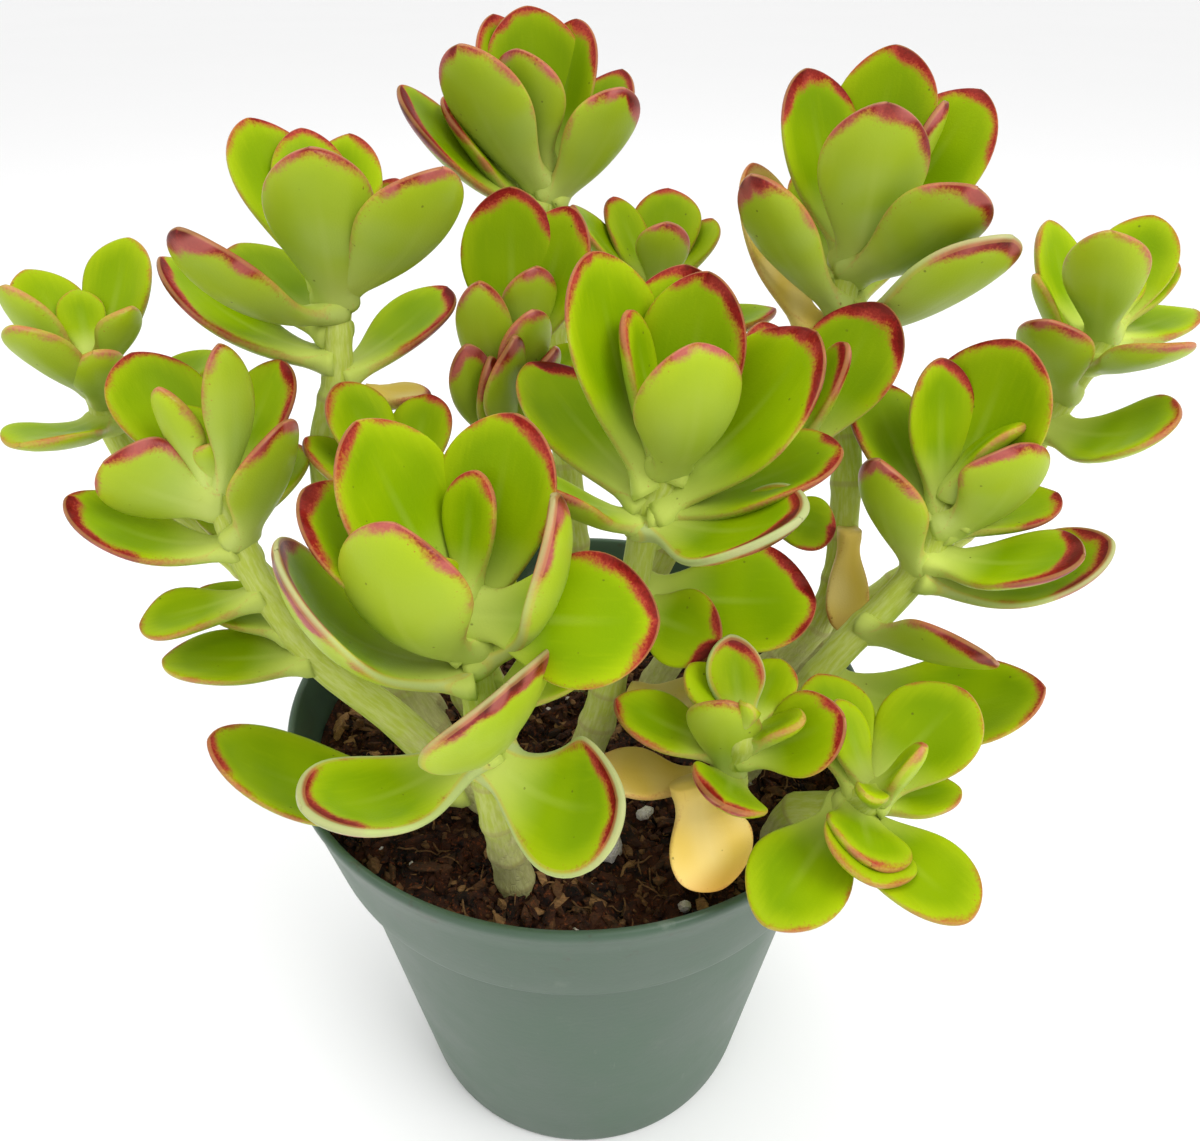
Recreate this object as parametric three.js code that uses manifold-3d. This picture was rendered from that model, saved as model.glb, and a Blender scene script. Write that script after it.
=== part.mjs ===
// Potted tree stonecrop: a nursery pot of potting mix with leafy succulent shoots.
// Millimetres, +Z up, origin at the centre of the pot's flat base, -Y towards the viewer.
import * as THREE from 'three';
import { mergeVertices } from 'three/addons/utils/BufferGeometryUtils.js';
import Module from 'manifold-3d';

const wasm = await Module();
wasm.setup();

// Driving dimensions of the pot and its filling
const potHeight = 96;
const rimRadius = 54;
const bandHeight = 21.5; // the lip band under the rim
const bandFoot = 50; // outer radius at the band's lower edge
const bodyTop = 47.6; // outer radius of the body just under the band
const baseRadius = 37.6;
const wall = 1.4;
const drainHoles = { count: 6, radius: 4, circle: 25 };
const soilDepth = 10; // from the rim down to the mix
const clearance = 0.3; // below the mix, between it and the pot
const pressedGap = 0.56; // between the mix's flat-sided edge and the wall, or a stem
const soilTop = potHeight - soilDepth;

// Driving dimensions of the plant
const stemRadius = 3.3; // at the mix, thinning to two thirds at the tip
const stemBury = 14; // length of stem inside the mix
const leafHalfThickness = 1.7;
const leafNeck = 0.34; // half-width of the leaf's foot over its widest half-width
const leafWidest = 0.64; // where along the leaf it is widest
const leafChannel = 0.2; // how far the edges rise over the middle, per half-width

// Each shoot has a stem, from the mix to the growing tip, and leaves listed from the tip down.
// A leaf is [mm below the tip, heading, lift, length, bend, width over length, roll].
// Heading turns from +X towards +Y, lift is the slope from root to apex, bend how much the blade
// curls upward over its length, and roll turns it about its own midrib, all in degrees.
const shoots = {
  shoot_front: {
    stem: [[-10, -37, soilTop], [-12, -39, 110], [-13, -38, 129], [-14, -36, 143]],
    leaves: [
      [0, 88, 20, 3.5, 10, 0.6], [1, 140, 62, 7, 20, 0.42], [1, 76, 66, 18, 20, 0.5, -20],
      [7, 233, 68, 29, 95, 0.62, 20], [4, 153, 62, 30.5, 28, 0.66], [4, 61, 62, 29, 28, 0.64],
      [9, 352, 66, 31, 80, 0.5], [7, 168, 47, 30, 25, 0.58], [2, 341, 11, 27, 12, 0.64, 50],
      [11, 188, 44, 35, 95, 0.7, 12], [24, 292, 58, 28, 35, 0.8, 26],
      [23, 219, 10, 29.5, 75, 0.62, 2], [25, 322, 15, 28, 88, 0.66, 46],
      [14, 100, 38, 26, 30, 0.55], [18, 30, 20, 24, 30, 0.55],
    ],
  },
  shoot_left: {
    stem: [
      [-10, -26, soilTop], [-20, -26, 100], [-31, -22, 110], [-42, -18, 118],
      [-50, -13, 128], [-54, -10, 139], [-56, -8, 147],
    ],
    leaves: [
      [0, 306, 62, 6.5, 20, 0.7], [1, 130, 41, 13, 15, 0.6], [2, 200, 76, 17, 20, 0.42, 50],
      [3, 350, 76, 25, 40, 0.3, -40], [4, 140, 49, 25.5, 30, 0.6], [4, 57, 45, 23.5, 25, 0.54],
      [5, 198, 32, 17.5, 35, 0.85, 85], [11, 347, 60, 24.5, 30, 0.62, -10],
      [12, 182, 20, 28, 80, 0.5], [21, 195, -8, 20, 20, 0.6], [29, 150, 5, 21, 20, 0.5],
      [34, 185, 3, 24, 25, 0.6], [66, 192, 25, 44.5, 84, 0.43], [9, 70, 15, 20, 30, 0.55],
      [15, 120, 20, 22, 30, 0.5],
    ],
  },
  shoot_centre: {
    stem: [[-1, -18, soilTop], [5, -17, 110], [9, -15, 129], [11, -13, 141], [14, -11, 150]],
    leaves: [
      [0, 80, 65, 7, 10, 0.6], [1, 142, 72, 24, 25, 0.42, 15], [0.5, 285, 68, 26, 75, 0.6],
      [3, 52, 71, 31, 30, 0.56], [4, 140, 68, 35.5, 30, 0.58], [4, 76, 62, 33, 25, 0.56],
      [7, 5, 50, 35, 35, 0.64, 14], [8, 354, 24, 30, 30, 0.64], [7, 136, 30, 31, 25, 0.56],
      [9, 314, 23, 30, 48, 0.64, 12], [22, 356, 0, 29, 25, 0.68, 25],
      [24, 322, 2, 17, 20, 0.74, 45], [10, 210, 35, 28, 30, 0.52], [12, 60, 25, 28, 30, 0.52],
    ],
  },
  shoot_right: {
    stem: [[29, -14, soilTop], [44, -12, 114], [51, -10, 122], [57, -8, 131], [59, -6, 141]],
    leaves: [
      [0, 67, 37, 6, 10, 0.6], [0, 5, 52, 17, -50, 0.5, -20], [3, 104, 69, 25, 25, 0.45],
      [5, 330, 64, 20.5, 75, 0.72, -50], [4, 42, 68, 30, 30, 0.68], [4, 119, 37, 27, 25, 0.58],
      [5, 16, 8, 22, 30, 0.6], [12, 200, 61, 25, 30, 0.46, 20],
      [10, 318, 24, 25, 45, 0.62, 10], [13, 350, 18, 32, 85, 0.6],
      [25.5, 306, 20, 24, 25, 0.6, -50], [37, 342, 10, 38, 75, 0.5, 10],
      [10, 60, 20, 26, 30, 0.54], [13, 75, 20, 22, 30, 0.54],
    ],
  },
  shoot_back: {
    stem: [[0, 14, soilTop], [-2, 22, 129], [-5, 34, 154], [-6, 42, 175], [-6, 44, 181]],
    leaves: [
      [0, 92, 24, 7, 10, 0.6], [1, 239, 71, 21, 25, 0.66], [3, 53, 68, 27, 25, 0.5],
      [3, 143, 68, 28, 28, 0.56], [4, 110, 76, 29, 28, 0.6], [4, 219, 56, 29, 35, 0.54, 30],
      [6, 346, 52, 24, 35, 0.58, -40], [7, 42, 48, 28, 30, 0.6],
      [7, 188, 40, 32, 50, 0.48, -15], [10, 172, 50, 27, 25, 0.46], [11, 95, 40, 28, 30, 0.54],
    ],
  },
  shoot_back_right: {
    stem: [
      [27, 2, soilTop], [45, 2, 113], [47, 8, 133], [46, 15, 148],
      [45, 21, 162], [46, 24, 169], [48, 26, 174],
    ],
    leaves: [
      [0, 70, 32, 7, 10, 0.6], [5, 265, 68, 28, 35, 0.6], [2, 358, 65, 24, 25, 0.42, -20],
      [3, 66, 73, 31, 28, 0.54], [4, 155, 67, 30, 30, 0.56, -30],
      [4, 19, 52, 31, 28, 0.56, 30], [7, 305, 39, 28, 35, 0.54, -40],
      [13, 197, 50, 30, 30, 0.37, 40], [16, 320, 38, 32, 40, 0.54, -25],
      [9, 98, 34, 27, 30, 0.52], [13, 60, 30, 28, 30, 0.54],
    ],
  },
  shoot_back_left: {
    stem: [
      [-22, -12, soilTop], [-32, -9, 106], [-40, -2, 127], [-42, 5, 144],
      [-39, 8, 155], [-38, 11, 167], [-38, 12, 173],
    ],
    leaves: [
      [0, 93, 19, 7, 10, 0.6], [6, 284, 67, 27, 35, 0.58], [2, 84, 48, 24, 25, 0.54],
      [3, 112, 58, 24, 22, 0.52], [4, 140, 56, 28, 28, 0.56], [4, 337, 42, 30, 45, 0.54, -28],
      [5, 55, 42, 22, 30, 0.56], [7, 236, 36, 32, 75, 0.4, 12], [11, 142, 23, 26, 30, 0.56],
      [15, 179, 33, 31, 60, 0.5], [18, 46, 21, 26, 30, 0.54],
    ],
  },
  shoot_far_left: {
    stem: [
      [-30, 4, soilTop], [-47, 4, 104], [-61, 6, 121], [-73, 7, 135],
      [-78, 8, 147], [-78, 8, 158],
    ],
    leaves: [
      [0, 112, 45, 13, 20], [1, 10, 49, 13, 25, 0.6, -35], [2, 75, 48, 24, 28, 0.54],
      [3, 140, 47, 21, 25, 0.58], [4, 215, 66, 20, 30, 0.54, 25], [4, 264, 47, 21, 30, 0.48],
      [6, 304, 48, 15, 30, 0.6], [10, 259, 14, 20, 20, 0.7], [9, 50, 12, 22, 30, 0.5],
      [9, 120, 30, 18, 30, 0.5],
    ],
  },
  shoot_far_right: {
    stem: [
      [36, 8, soilTop], [65, 10, 119], [74, 12, 130], [82, 15, 144],
      [87, 17, 155], [90, 18, 162],
    ],
    leaves: [
      [0, 50, 37, 10, 20, 0.5], [2, 36, 30, 18, 25, 0.42], [3, 226, 58, 23, 35, 0.54, 15],
      [4, 52, 50, 23, 28, 0.58], [4, 21, 8, 20, 30, 0.6], [6, 120, 51, 24, 40, 0.5],
      [8, 281, 28, 22, 30, 0.56], [8, 160, 50, 18, 25, 0.56], [14, 216, 52, 20, 30, 0.62, 10],
      [20, 292, 26, 27, 55, 0.58, 30], [9, 80, 25, 22, 30, 0.54],
    ],
  },
  shoot_front_low: {
    stem: [[20, -30, soilTop], [23.5, -35, 110], [25, -38, 123]],
    leaves: [
      [0, 235, 69, 5, 10, 0.6], [5, 330, 45, 12, 20, 0.55], [3, 130, 26, 13, 25, 0.58],
      [3, 60, 18, 14, 25, 0.6], [4, 100, 50, 15, 25, 0.58], [6, 40, -2, 13, 25],
      [12, 232, 75, 17, 30, 0.64, 25], [8, 342, 38, 18, 30, 0.68, 35],
      [9, 162, 17, 20, 30, 0.54], [14, 258, 31, 17, 20, 0.72, -24],
    ],
  },
  shoot_front_right: {
    stem: [[34, -29, soilTop], [36, -31.5, 97], [41, -37, 104.5], [44.5, -41, 111.5]],
    leaves: [
      [0, 230, 40, 8, 20, 0.6], [1, 335, 68, 13, 20, 0.5], [2, 112, 42, 15, 20, 0.46],
      [3, 104, 24, 21, 25, 0.6], [4, 32, 34, 23, 25, 0.7], [5, 5, 4, 16, 25],
      [6, 263, 14, 19, 20, 0.74, -22], [6, 263, 19, 17, 20, 0.76, -22], [7, 233, -2, 26, 10],
      [8, 294, 9, 26, 10],
    ],
  },
  shoot_middle: {
    stem: [[-14, 2, soilTop], [-21, 6, 103], [-15, 12, 130], [-12, 18, 147], [-11, 20, 156]],
    leaves: [
      [0, 93, 19, 6, 10, 0.6], [2, 336, 73, 17.5, 25, 0.56, -45], [3, 24, 66, 28, 25, 0.5, 35],
      [4, 86, 76, 30, 25, 0.56], [6, 128, 55, 18, 25, 0.54], [17, 287, 63, 27, 20, 0.42, 50],
      [18, 268, 66, 23, 20, 0.34, 70], [18, 240, 69, 24, 20, 0.36, 60],
      [12, 236, 78, 26, 20, 0.36, 40], [14, 316, 70, 25, 25, 0.46],
      [16, 330, 60, 22, 25, 0.48], [8, 40, 15, 18, 25, 0.5],
    ],
  },
  shoot_back_small: {
    stem: [[8, 22, soilTop], [21, 26, 127], [17, 32, 145], [15, 36, 159], [14, 37, 163]],
    leaves: [
      [1, 90, 60, 7, 10, 0.6], [2, 275, 64, 15, 30, 0.64], [3, 48, 33, 19, 25, 0.4],
      [3, 82, 43, 22, 25, 0.6], [4, 130, 48, 21, 25, 0.45], [5, 172, 46, 24, 30, 0.54],
      [10, 10, 8, 22, 30, 0.52], [10, 230, 35, 20, 30, 0.52],
    ],
  },
  shoot_right_small: {
    stem: [[12, 4, soilTop], [22, 2, 112], [31, 1, 135], [35, 0, 148]],
    leaves: [
      [0, 76, 58, 8, 20, 0.5], [3, 32, 54, 28, 30, 0.6, 15], [2, 345, 72, 20, 20, 0.4, 20],
      [3, 116, 61, 22, 25, 0.54], [9, 90, 20, 20, 25, 0.52], [14, 345, -8, 13, 20, 0.75, 40],
    ],
  },
  shoot_left_small: {
    stem: [[-16, -9, soilTop], [-22, -9, 112], [-26, -8, 134], [-27.5, -7, 145]],
    leaves: [
      [1, 270, 70, 9, 20, 0.56], [3, 142, 54, 20, 28, 0.6], [3, 75, 40, 18, 25, 0.6],
      [5, 165, 33, 19, 25, 0.5], [8, 20, 20, 16, 25, 0.5],
    ],
  },
};

// Yellowed leaves that hang loose under the shoots: the point they start from, and the leaf,
// as above.
const oldLeaves = {
  old_leaf_back: { root: [41, 22.5, 158.1], leaf: [0, 144, 60, 30, 35, 0.48, -12] },
  old_leaf_left: { root: [-35.1, 9.1, 151.7], leaf: [0, 4, 0, 11, 20, 0.75] },
  old_leaf_right: { root: [46.9, 2.1, 130.1], leaf: [0, 275, -72, 19, 12, 0.42] },
  old_leaf_front: { root: [17.5, -38, 111], leaf: [0, 296, -54, 17, 20, 0.82] },
  old_leaf_under: { root: [20.1, -34, 106.7], leaf: [0, 178, 6, 18, 20, 0.56] },
  old_leaf_centre: { root: [8.8, -20.2, 112], leaf: [0, 340, 19, 19, 25, 0.54] },
};

// Bark chips and perlite grains that stand out of the mix
const chips = { count: 20, smallest: 1.4, largest: 2.8, reach: 44, flatness: 0.6 };

const rad = THREE.MathUtils.degToRad;

function solidOf(geometry) {
  const bare = geometry.clone();
  bare.deleteAttribute('normal');
  bare.deleteAttribute('uv');
  const merged = mergeVertices(bare, 1e-4);
  const corners = merged.index.array;
  const kept = [];
  for (let i = 0; i < corners.length; i += 3) {
    const [a, b, c] = corners.slice(i, i + 3);
    if (a !== b && b !== c && c !== a) kept.push(a, b, c);
  }
  return new wasm.Manifold(new wasm.Mesh({
    numProp: 3,
    vertProperties: new Float32Array(merged.attributes.position.array),
    triVerts: new Uint32Array(kept),
  }));
}

function geometryOf(solid) {
  const mesh = solid.getMesh();
  const geometry = new THREE.BufferGeometry();
  geometry.setAttribute('position', new THREE.BufferAttribute(mesh.vertProperties, 3));
  geometry.setIndex(new THREE.BufferAttribute(mesh.triVerts, 1));
  geometry.computeVertexNormals();
  return geometry;
}

// A ball whose rings are laid along a path: place(ring, angle around it) gives each vertex.
function bentBall(sides, rings, place) {
  const ball = new THREE.SphereGeometry(1, sides, rings);
  const position = ball.attributes.position;
  const columns = sides + 1;
  for (let i = 0; i < position.count; i++) {
    const ring = Math.floor(i / columns);
    const around = (2 * Math.PI * ((i % columns) % sides)) / sides;
    const point = place(ring, around);
    position.setXYZ(i, point.x, point.y, point.z);
  }
  return ball;
}

// Half-width along a leaf, as a share of its widest: a narrow foot, then a spoon-shaped blade.
function spoon(s) {
  if (s < leafWidest) {
    const t = THREE.MathUtils.clamp((s - 0.04) / (leafWidest - 0.04), 0, 1);
    return leafNeck + (1 - leafNeck) * (0.5 - 0.5 * Math.cos(Math.PI * t));
  }
  const t = (s - leafWidest) / (1 - leafWidest);
  return Math.pow(1 - Math.pow(t, 2.2), 0.62);
}

const leafStations = [0, 0.04, 0.36, 0.68, 0.93, 1];

function leafGeometry(root, [, heading, lift, length, bend, share = 0.56, roll = 0]) {
  const last = leafStations.length - 1;
  const outward = new THREE.Vector3(Math.cos(rad(heading)), Math.sin(rad(heading)), 0);
  const up = new THREE.Vector3(0, 0, 1);
  const curl = rad(bend);
  const start = rad(lift) - curl / 2;
  const halfWidth = (length * share) / 2;
  return bentBall(6, last, (ring, around) => {
    const s = leafStations[ring];
    const slope = start + curl * s;
    const reach = (length * (Math.sin(slope) - Math.sin(start))) / curl;
    const rise = (length * (Math.cos(start) - Math.cos(slope))) / curl;
    const along = outward.clone().multiplyScalar(Math.cos(slope)).addScaledVector(up, Math.sin(slope));
    const inner = outward.clone().multiplyScalar(-Math.sin(slope)).addScaledVector(up, Math.cos(slope));
    inner.applyAxisAngle(along, rad(roll));
    const side = along.clone().cross(inner);
    const open = ring === 0 || ring === last ? 0 : 1;
    const across = open * halfWidth * spoon(s) * Math.cos(around);
    const through = open * leafHalfThickness * (1 - 0.35 * s) * Math.sin(around);
    const lens = through + (leafChannel * across * across) / halfWidth;
    return root.clone()
      .addScaledVector(outward, reach).addScaledVector(up, rise)
      .addScaledVector(side, across).addScaledVector(inner, lens);
  });
}

function stemCurve(points) {
  const [x, y, z] = points[0];
  const buried = new THREE.Vector3(x, y, z - stemBury);
  return new THREE.CatmullRomCurve3([buried, ...points.map((p) => new THREE.Vector3(...p))]);
}

function stemGeometry(curve, grow = 0) {
  const rings = Math.max(6, Math.round(curve.getLength() / 9));
  return bentBall(6, rings, (ring, around) => {
    const s = ring / rings;
    const centre = curve.getPointAt(s);
    const along = curve.getTangentAt(s);
    const side = new THREE.Vector3(1, 0, 0).addScaledVector(along, -along.x).normalize();
    const other = side.clone().cross(along);
    const r = ring === 0 || ring === rings ? 0 : stemRadius * (1 - s / 3) + grow;
    if (ring === 0) centre.addScaledVector(along, -2 * grow);
    return centre.addScaledVector(side, r * Math.cos(around)).addScaledVector(other, r * Math.sin(around));
  });
}

function leafRoot(curve, below) {
  return curve.getPointAt(1 - below / curve.getLength());
}

function shootSolid({ stem, leaves }) {
  const curve = stemCurve(stem);
  const parts = leaves.map((leaf) => solidOf(leafGeometry(leafRoot(curve, leaf[0]), leaf)));
  return wasm.Manifold.union([solidOf(stemGeometry(curve)), ...parts]);
}

function turned(profile, segments) {
  const points = profile.map(([r, z]) => new THREE.Vector2(r, z));
  return new THREE.LatheGeometry(points, segments).rotateX(Math.PI / 2);
}

function potSolid() {
  const foot = potHeight - bandHeight;
  const profile = [
    [0, 0], [baseRadius - 1.6, 0], [baseRadius, 1.2],
    [bodyTop, foot], [bandFoot, foot + 0.5], [rimRadius, potHeight - 1], [rimRadius - 0.2, potHeight],
    [rimRadius - wall, potHeight], [rimRadius - wall - 0.3, potHeight - 1],
    [bandFoot - wall, foot + 1.1], [bodyTop - wall, foot - 0.5],
    [baseRadius - wall + 0.2, 3], [baseRadius - wall - 1.2, wall + 0.2], [0, wall + 0.2],
  ];
  const { count, radius, circle } = drainHoles;
  const drill = new THREE.CylinderGeometry(radius, radius, 10, 16).rotateX(Math.PI / 2);
  const drills = [];
  for (let i = 0; i < count; i++) {
    const turn = (2 * Math.PI * (i + 0.5)) / count;
    drills.push(solidOf(drill).translate([circle * Math.cos(turn), circle * Math.sin(turn), 0]));
  }
  return solidOf(turned(profile, 42)).subtract(wasm.Manifold.union(drills));
}

// Height of the mix over its level, fading out at the wall
function lump(x, y) {
  const fade = 1 - Math.pow(Math.min(1, Math.hypot(x, y) / 50), 6);
  const wave = 0.8 * Math.sin(0.31 * x + 1.2) * Math.cos(0.27 * y) + 0.5 * Math.sin(0.55 * x - 0.6 * y);
  return fade * wave;
}

function seeded(seed) {
  let state = seed;
  return () => {
    state = (state * 16807) % 2147483647;
    return state / 2147483647;
  };
}

function chipSolids() {
  const draw = seeded(41);
  const solids = [];
  for (let i = 0; i < chips.count; i++) {
    const turn = 2 * Math.PI * draw();
    const out = chips.reach * Math.sqrt(draw());
    const size = chips.smallest + (chips.largest - chips.smallest) * draw();
    const grain = new THREE.IcosahedronGeometry(1, 0);
    grain.scale(size * (1 + draw()), size, size * chips.flatness);
    grain.rotateX(0.8 * (draw() - 0.5)).rotateZ(2 * Math.PI * draw());
    const x = out * Math.cos(turn);
    const y = out * Math.sin(turn);
    grain.translate(x, y, soilTop + lump(x, y));
    solids.push(solidOf(grain));
  }
  return solids;
}

function soilSolid() {
  const floor = wall + 0.2 + clearance;
  const foot = potHeight - bandHeight;
  const side = wall + pressedGap;
  const edge = rimRadius - side - 2;
  const profile = [
    [0, floor], [baseRadius - side - 1.2, floor], [baseRadius - side + 0.1, 3 + clearance],
    [bodyTop - side - 0.02, foot - 0.3], [bandFoot - side - 0.1, foot + 1.5], [edge, soilTop],
    [43, soilTop], [32, soilTop], [21, soilTop], [10, soilTop], [0, soilTop],
  ];
  const body = turned(profile, 20);
  const position = body.attributes.position;
  for (let i = 0; i < position.count; i++) {
    if (position.getZ(i) > soilTop - 0.01) {
      position.setZ(i, soilTop + lump(position.getX(i), position.getY(i)));
    }
  }
  const holes = Object.values(shoots).map(({ stem }) => solidOf(stemGeometry(stemCurve(stem), pressedGap)));
  return wasm.Manifold.union([solidOf(body), ...chipSolids()]).subtract(wasm.Manifold.union(holes));
}

const plant = new THREE.Group();
const leafGreen = { color: 0x8fb01c, roughness: 0.45, metalness: 0 };
const oldYellow = { color: 0xd2b04a, roughness: 0.5, metalness: 0 };
const potGreen = { color: 0x4d6053, roughness: 0.5, metalness: 0 };
const soilBrown = { color: 0x2e1a12, roughness: 0.95, metalness: 0 };

function place(name, geometry, look) {
  const mesh = new THREE.Mesh(geometry, new THREE.MeshStandardMaterial(look));
  mesh.name = name;
  plant.add(mesh);
}

place('pot', geometryOf(potSolid()), potGreen);
place('soil', geometryOf(soilSolid()), soilBrown);
for (const [name, shoot] of Object.entries(shoots)) {
  place(name, geometryOf(shootSolid(shoot)), leafGreen);
}
for (const [name, { root, leaf }] of Object.entries(oldLeaves)) {
  place(name, geometryOf(solidOf(leafGeometry(new THREE.Vector3(...root), leaf))), oldYellow);
}

export default plant;
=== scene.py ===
import math
import random

import bmesh
import bpy
import numpy as np
from mathutils import Matrix, Vector, noise


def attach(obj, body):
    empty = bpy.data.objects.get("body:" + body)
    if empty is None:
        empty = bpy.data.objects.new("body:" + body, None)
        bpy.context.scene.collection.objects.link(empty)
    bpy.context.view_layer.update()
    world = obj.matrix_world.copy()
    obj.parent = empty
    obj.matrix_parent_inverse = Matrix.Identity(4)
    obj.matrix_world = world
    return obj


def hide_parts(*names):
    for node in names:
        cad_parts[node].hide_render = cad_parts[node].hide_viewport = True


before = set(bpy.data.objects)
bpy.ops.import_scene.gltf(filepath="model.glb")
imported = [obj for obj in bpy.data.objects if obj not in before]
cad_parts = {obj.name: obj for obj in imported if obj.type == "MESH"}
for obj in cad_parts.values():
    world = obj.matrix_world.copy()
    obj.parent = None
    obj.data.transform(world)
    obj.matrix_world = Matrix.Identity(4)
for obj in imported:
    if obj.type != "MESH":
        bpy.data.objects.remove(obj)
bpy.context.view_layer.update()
print("frame loaded")

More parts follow.
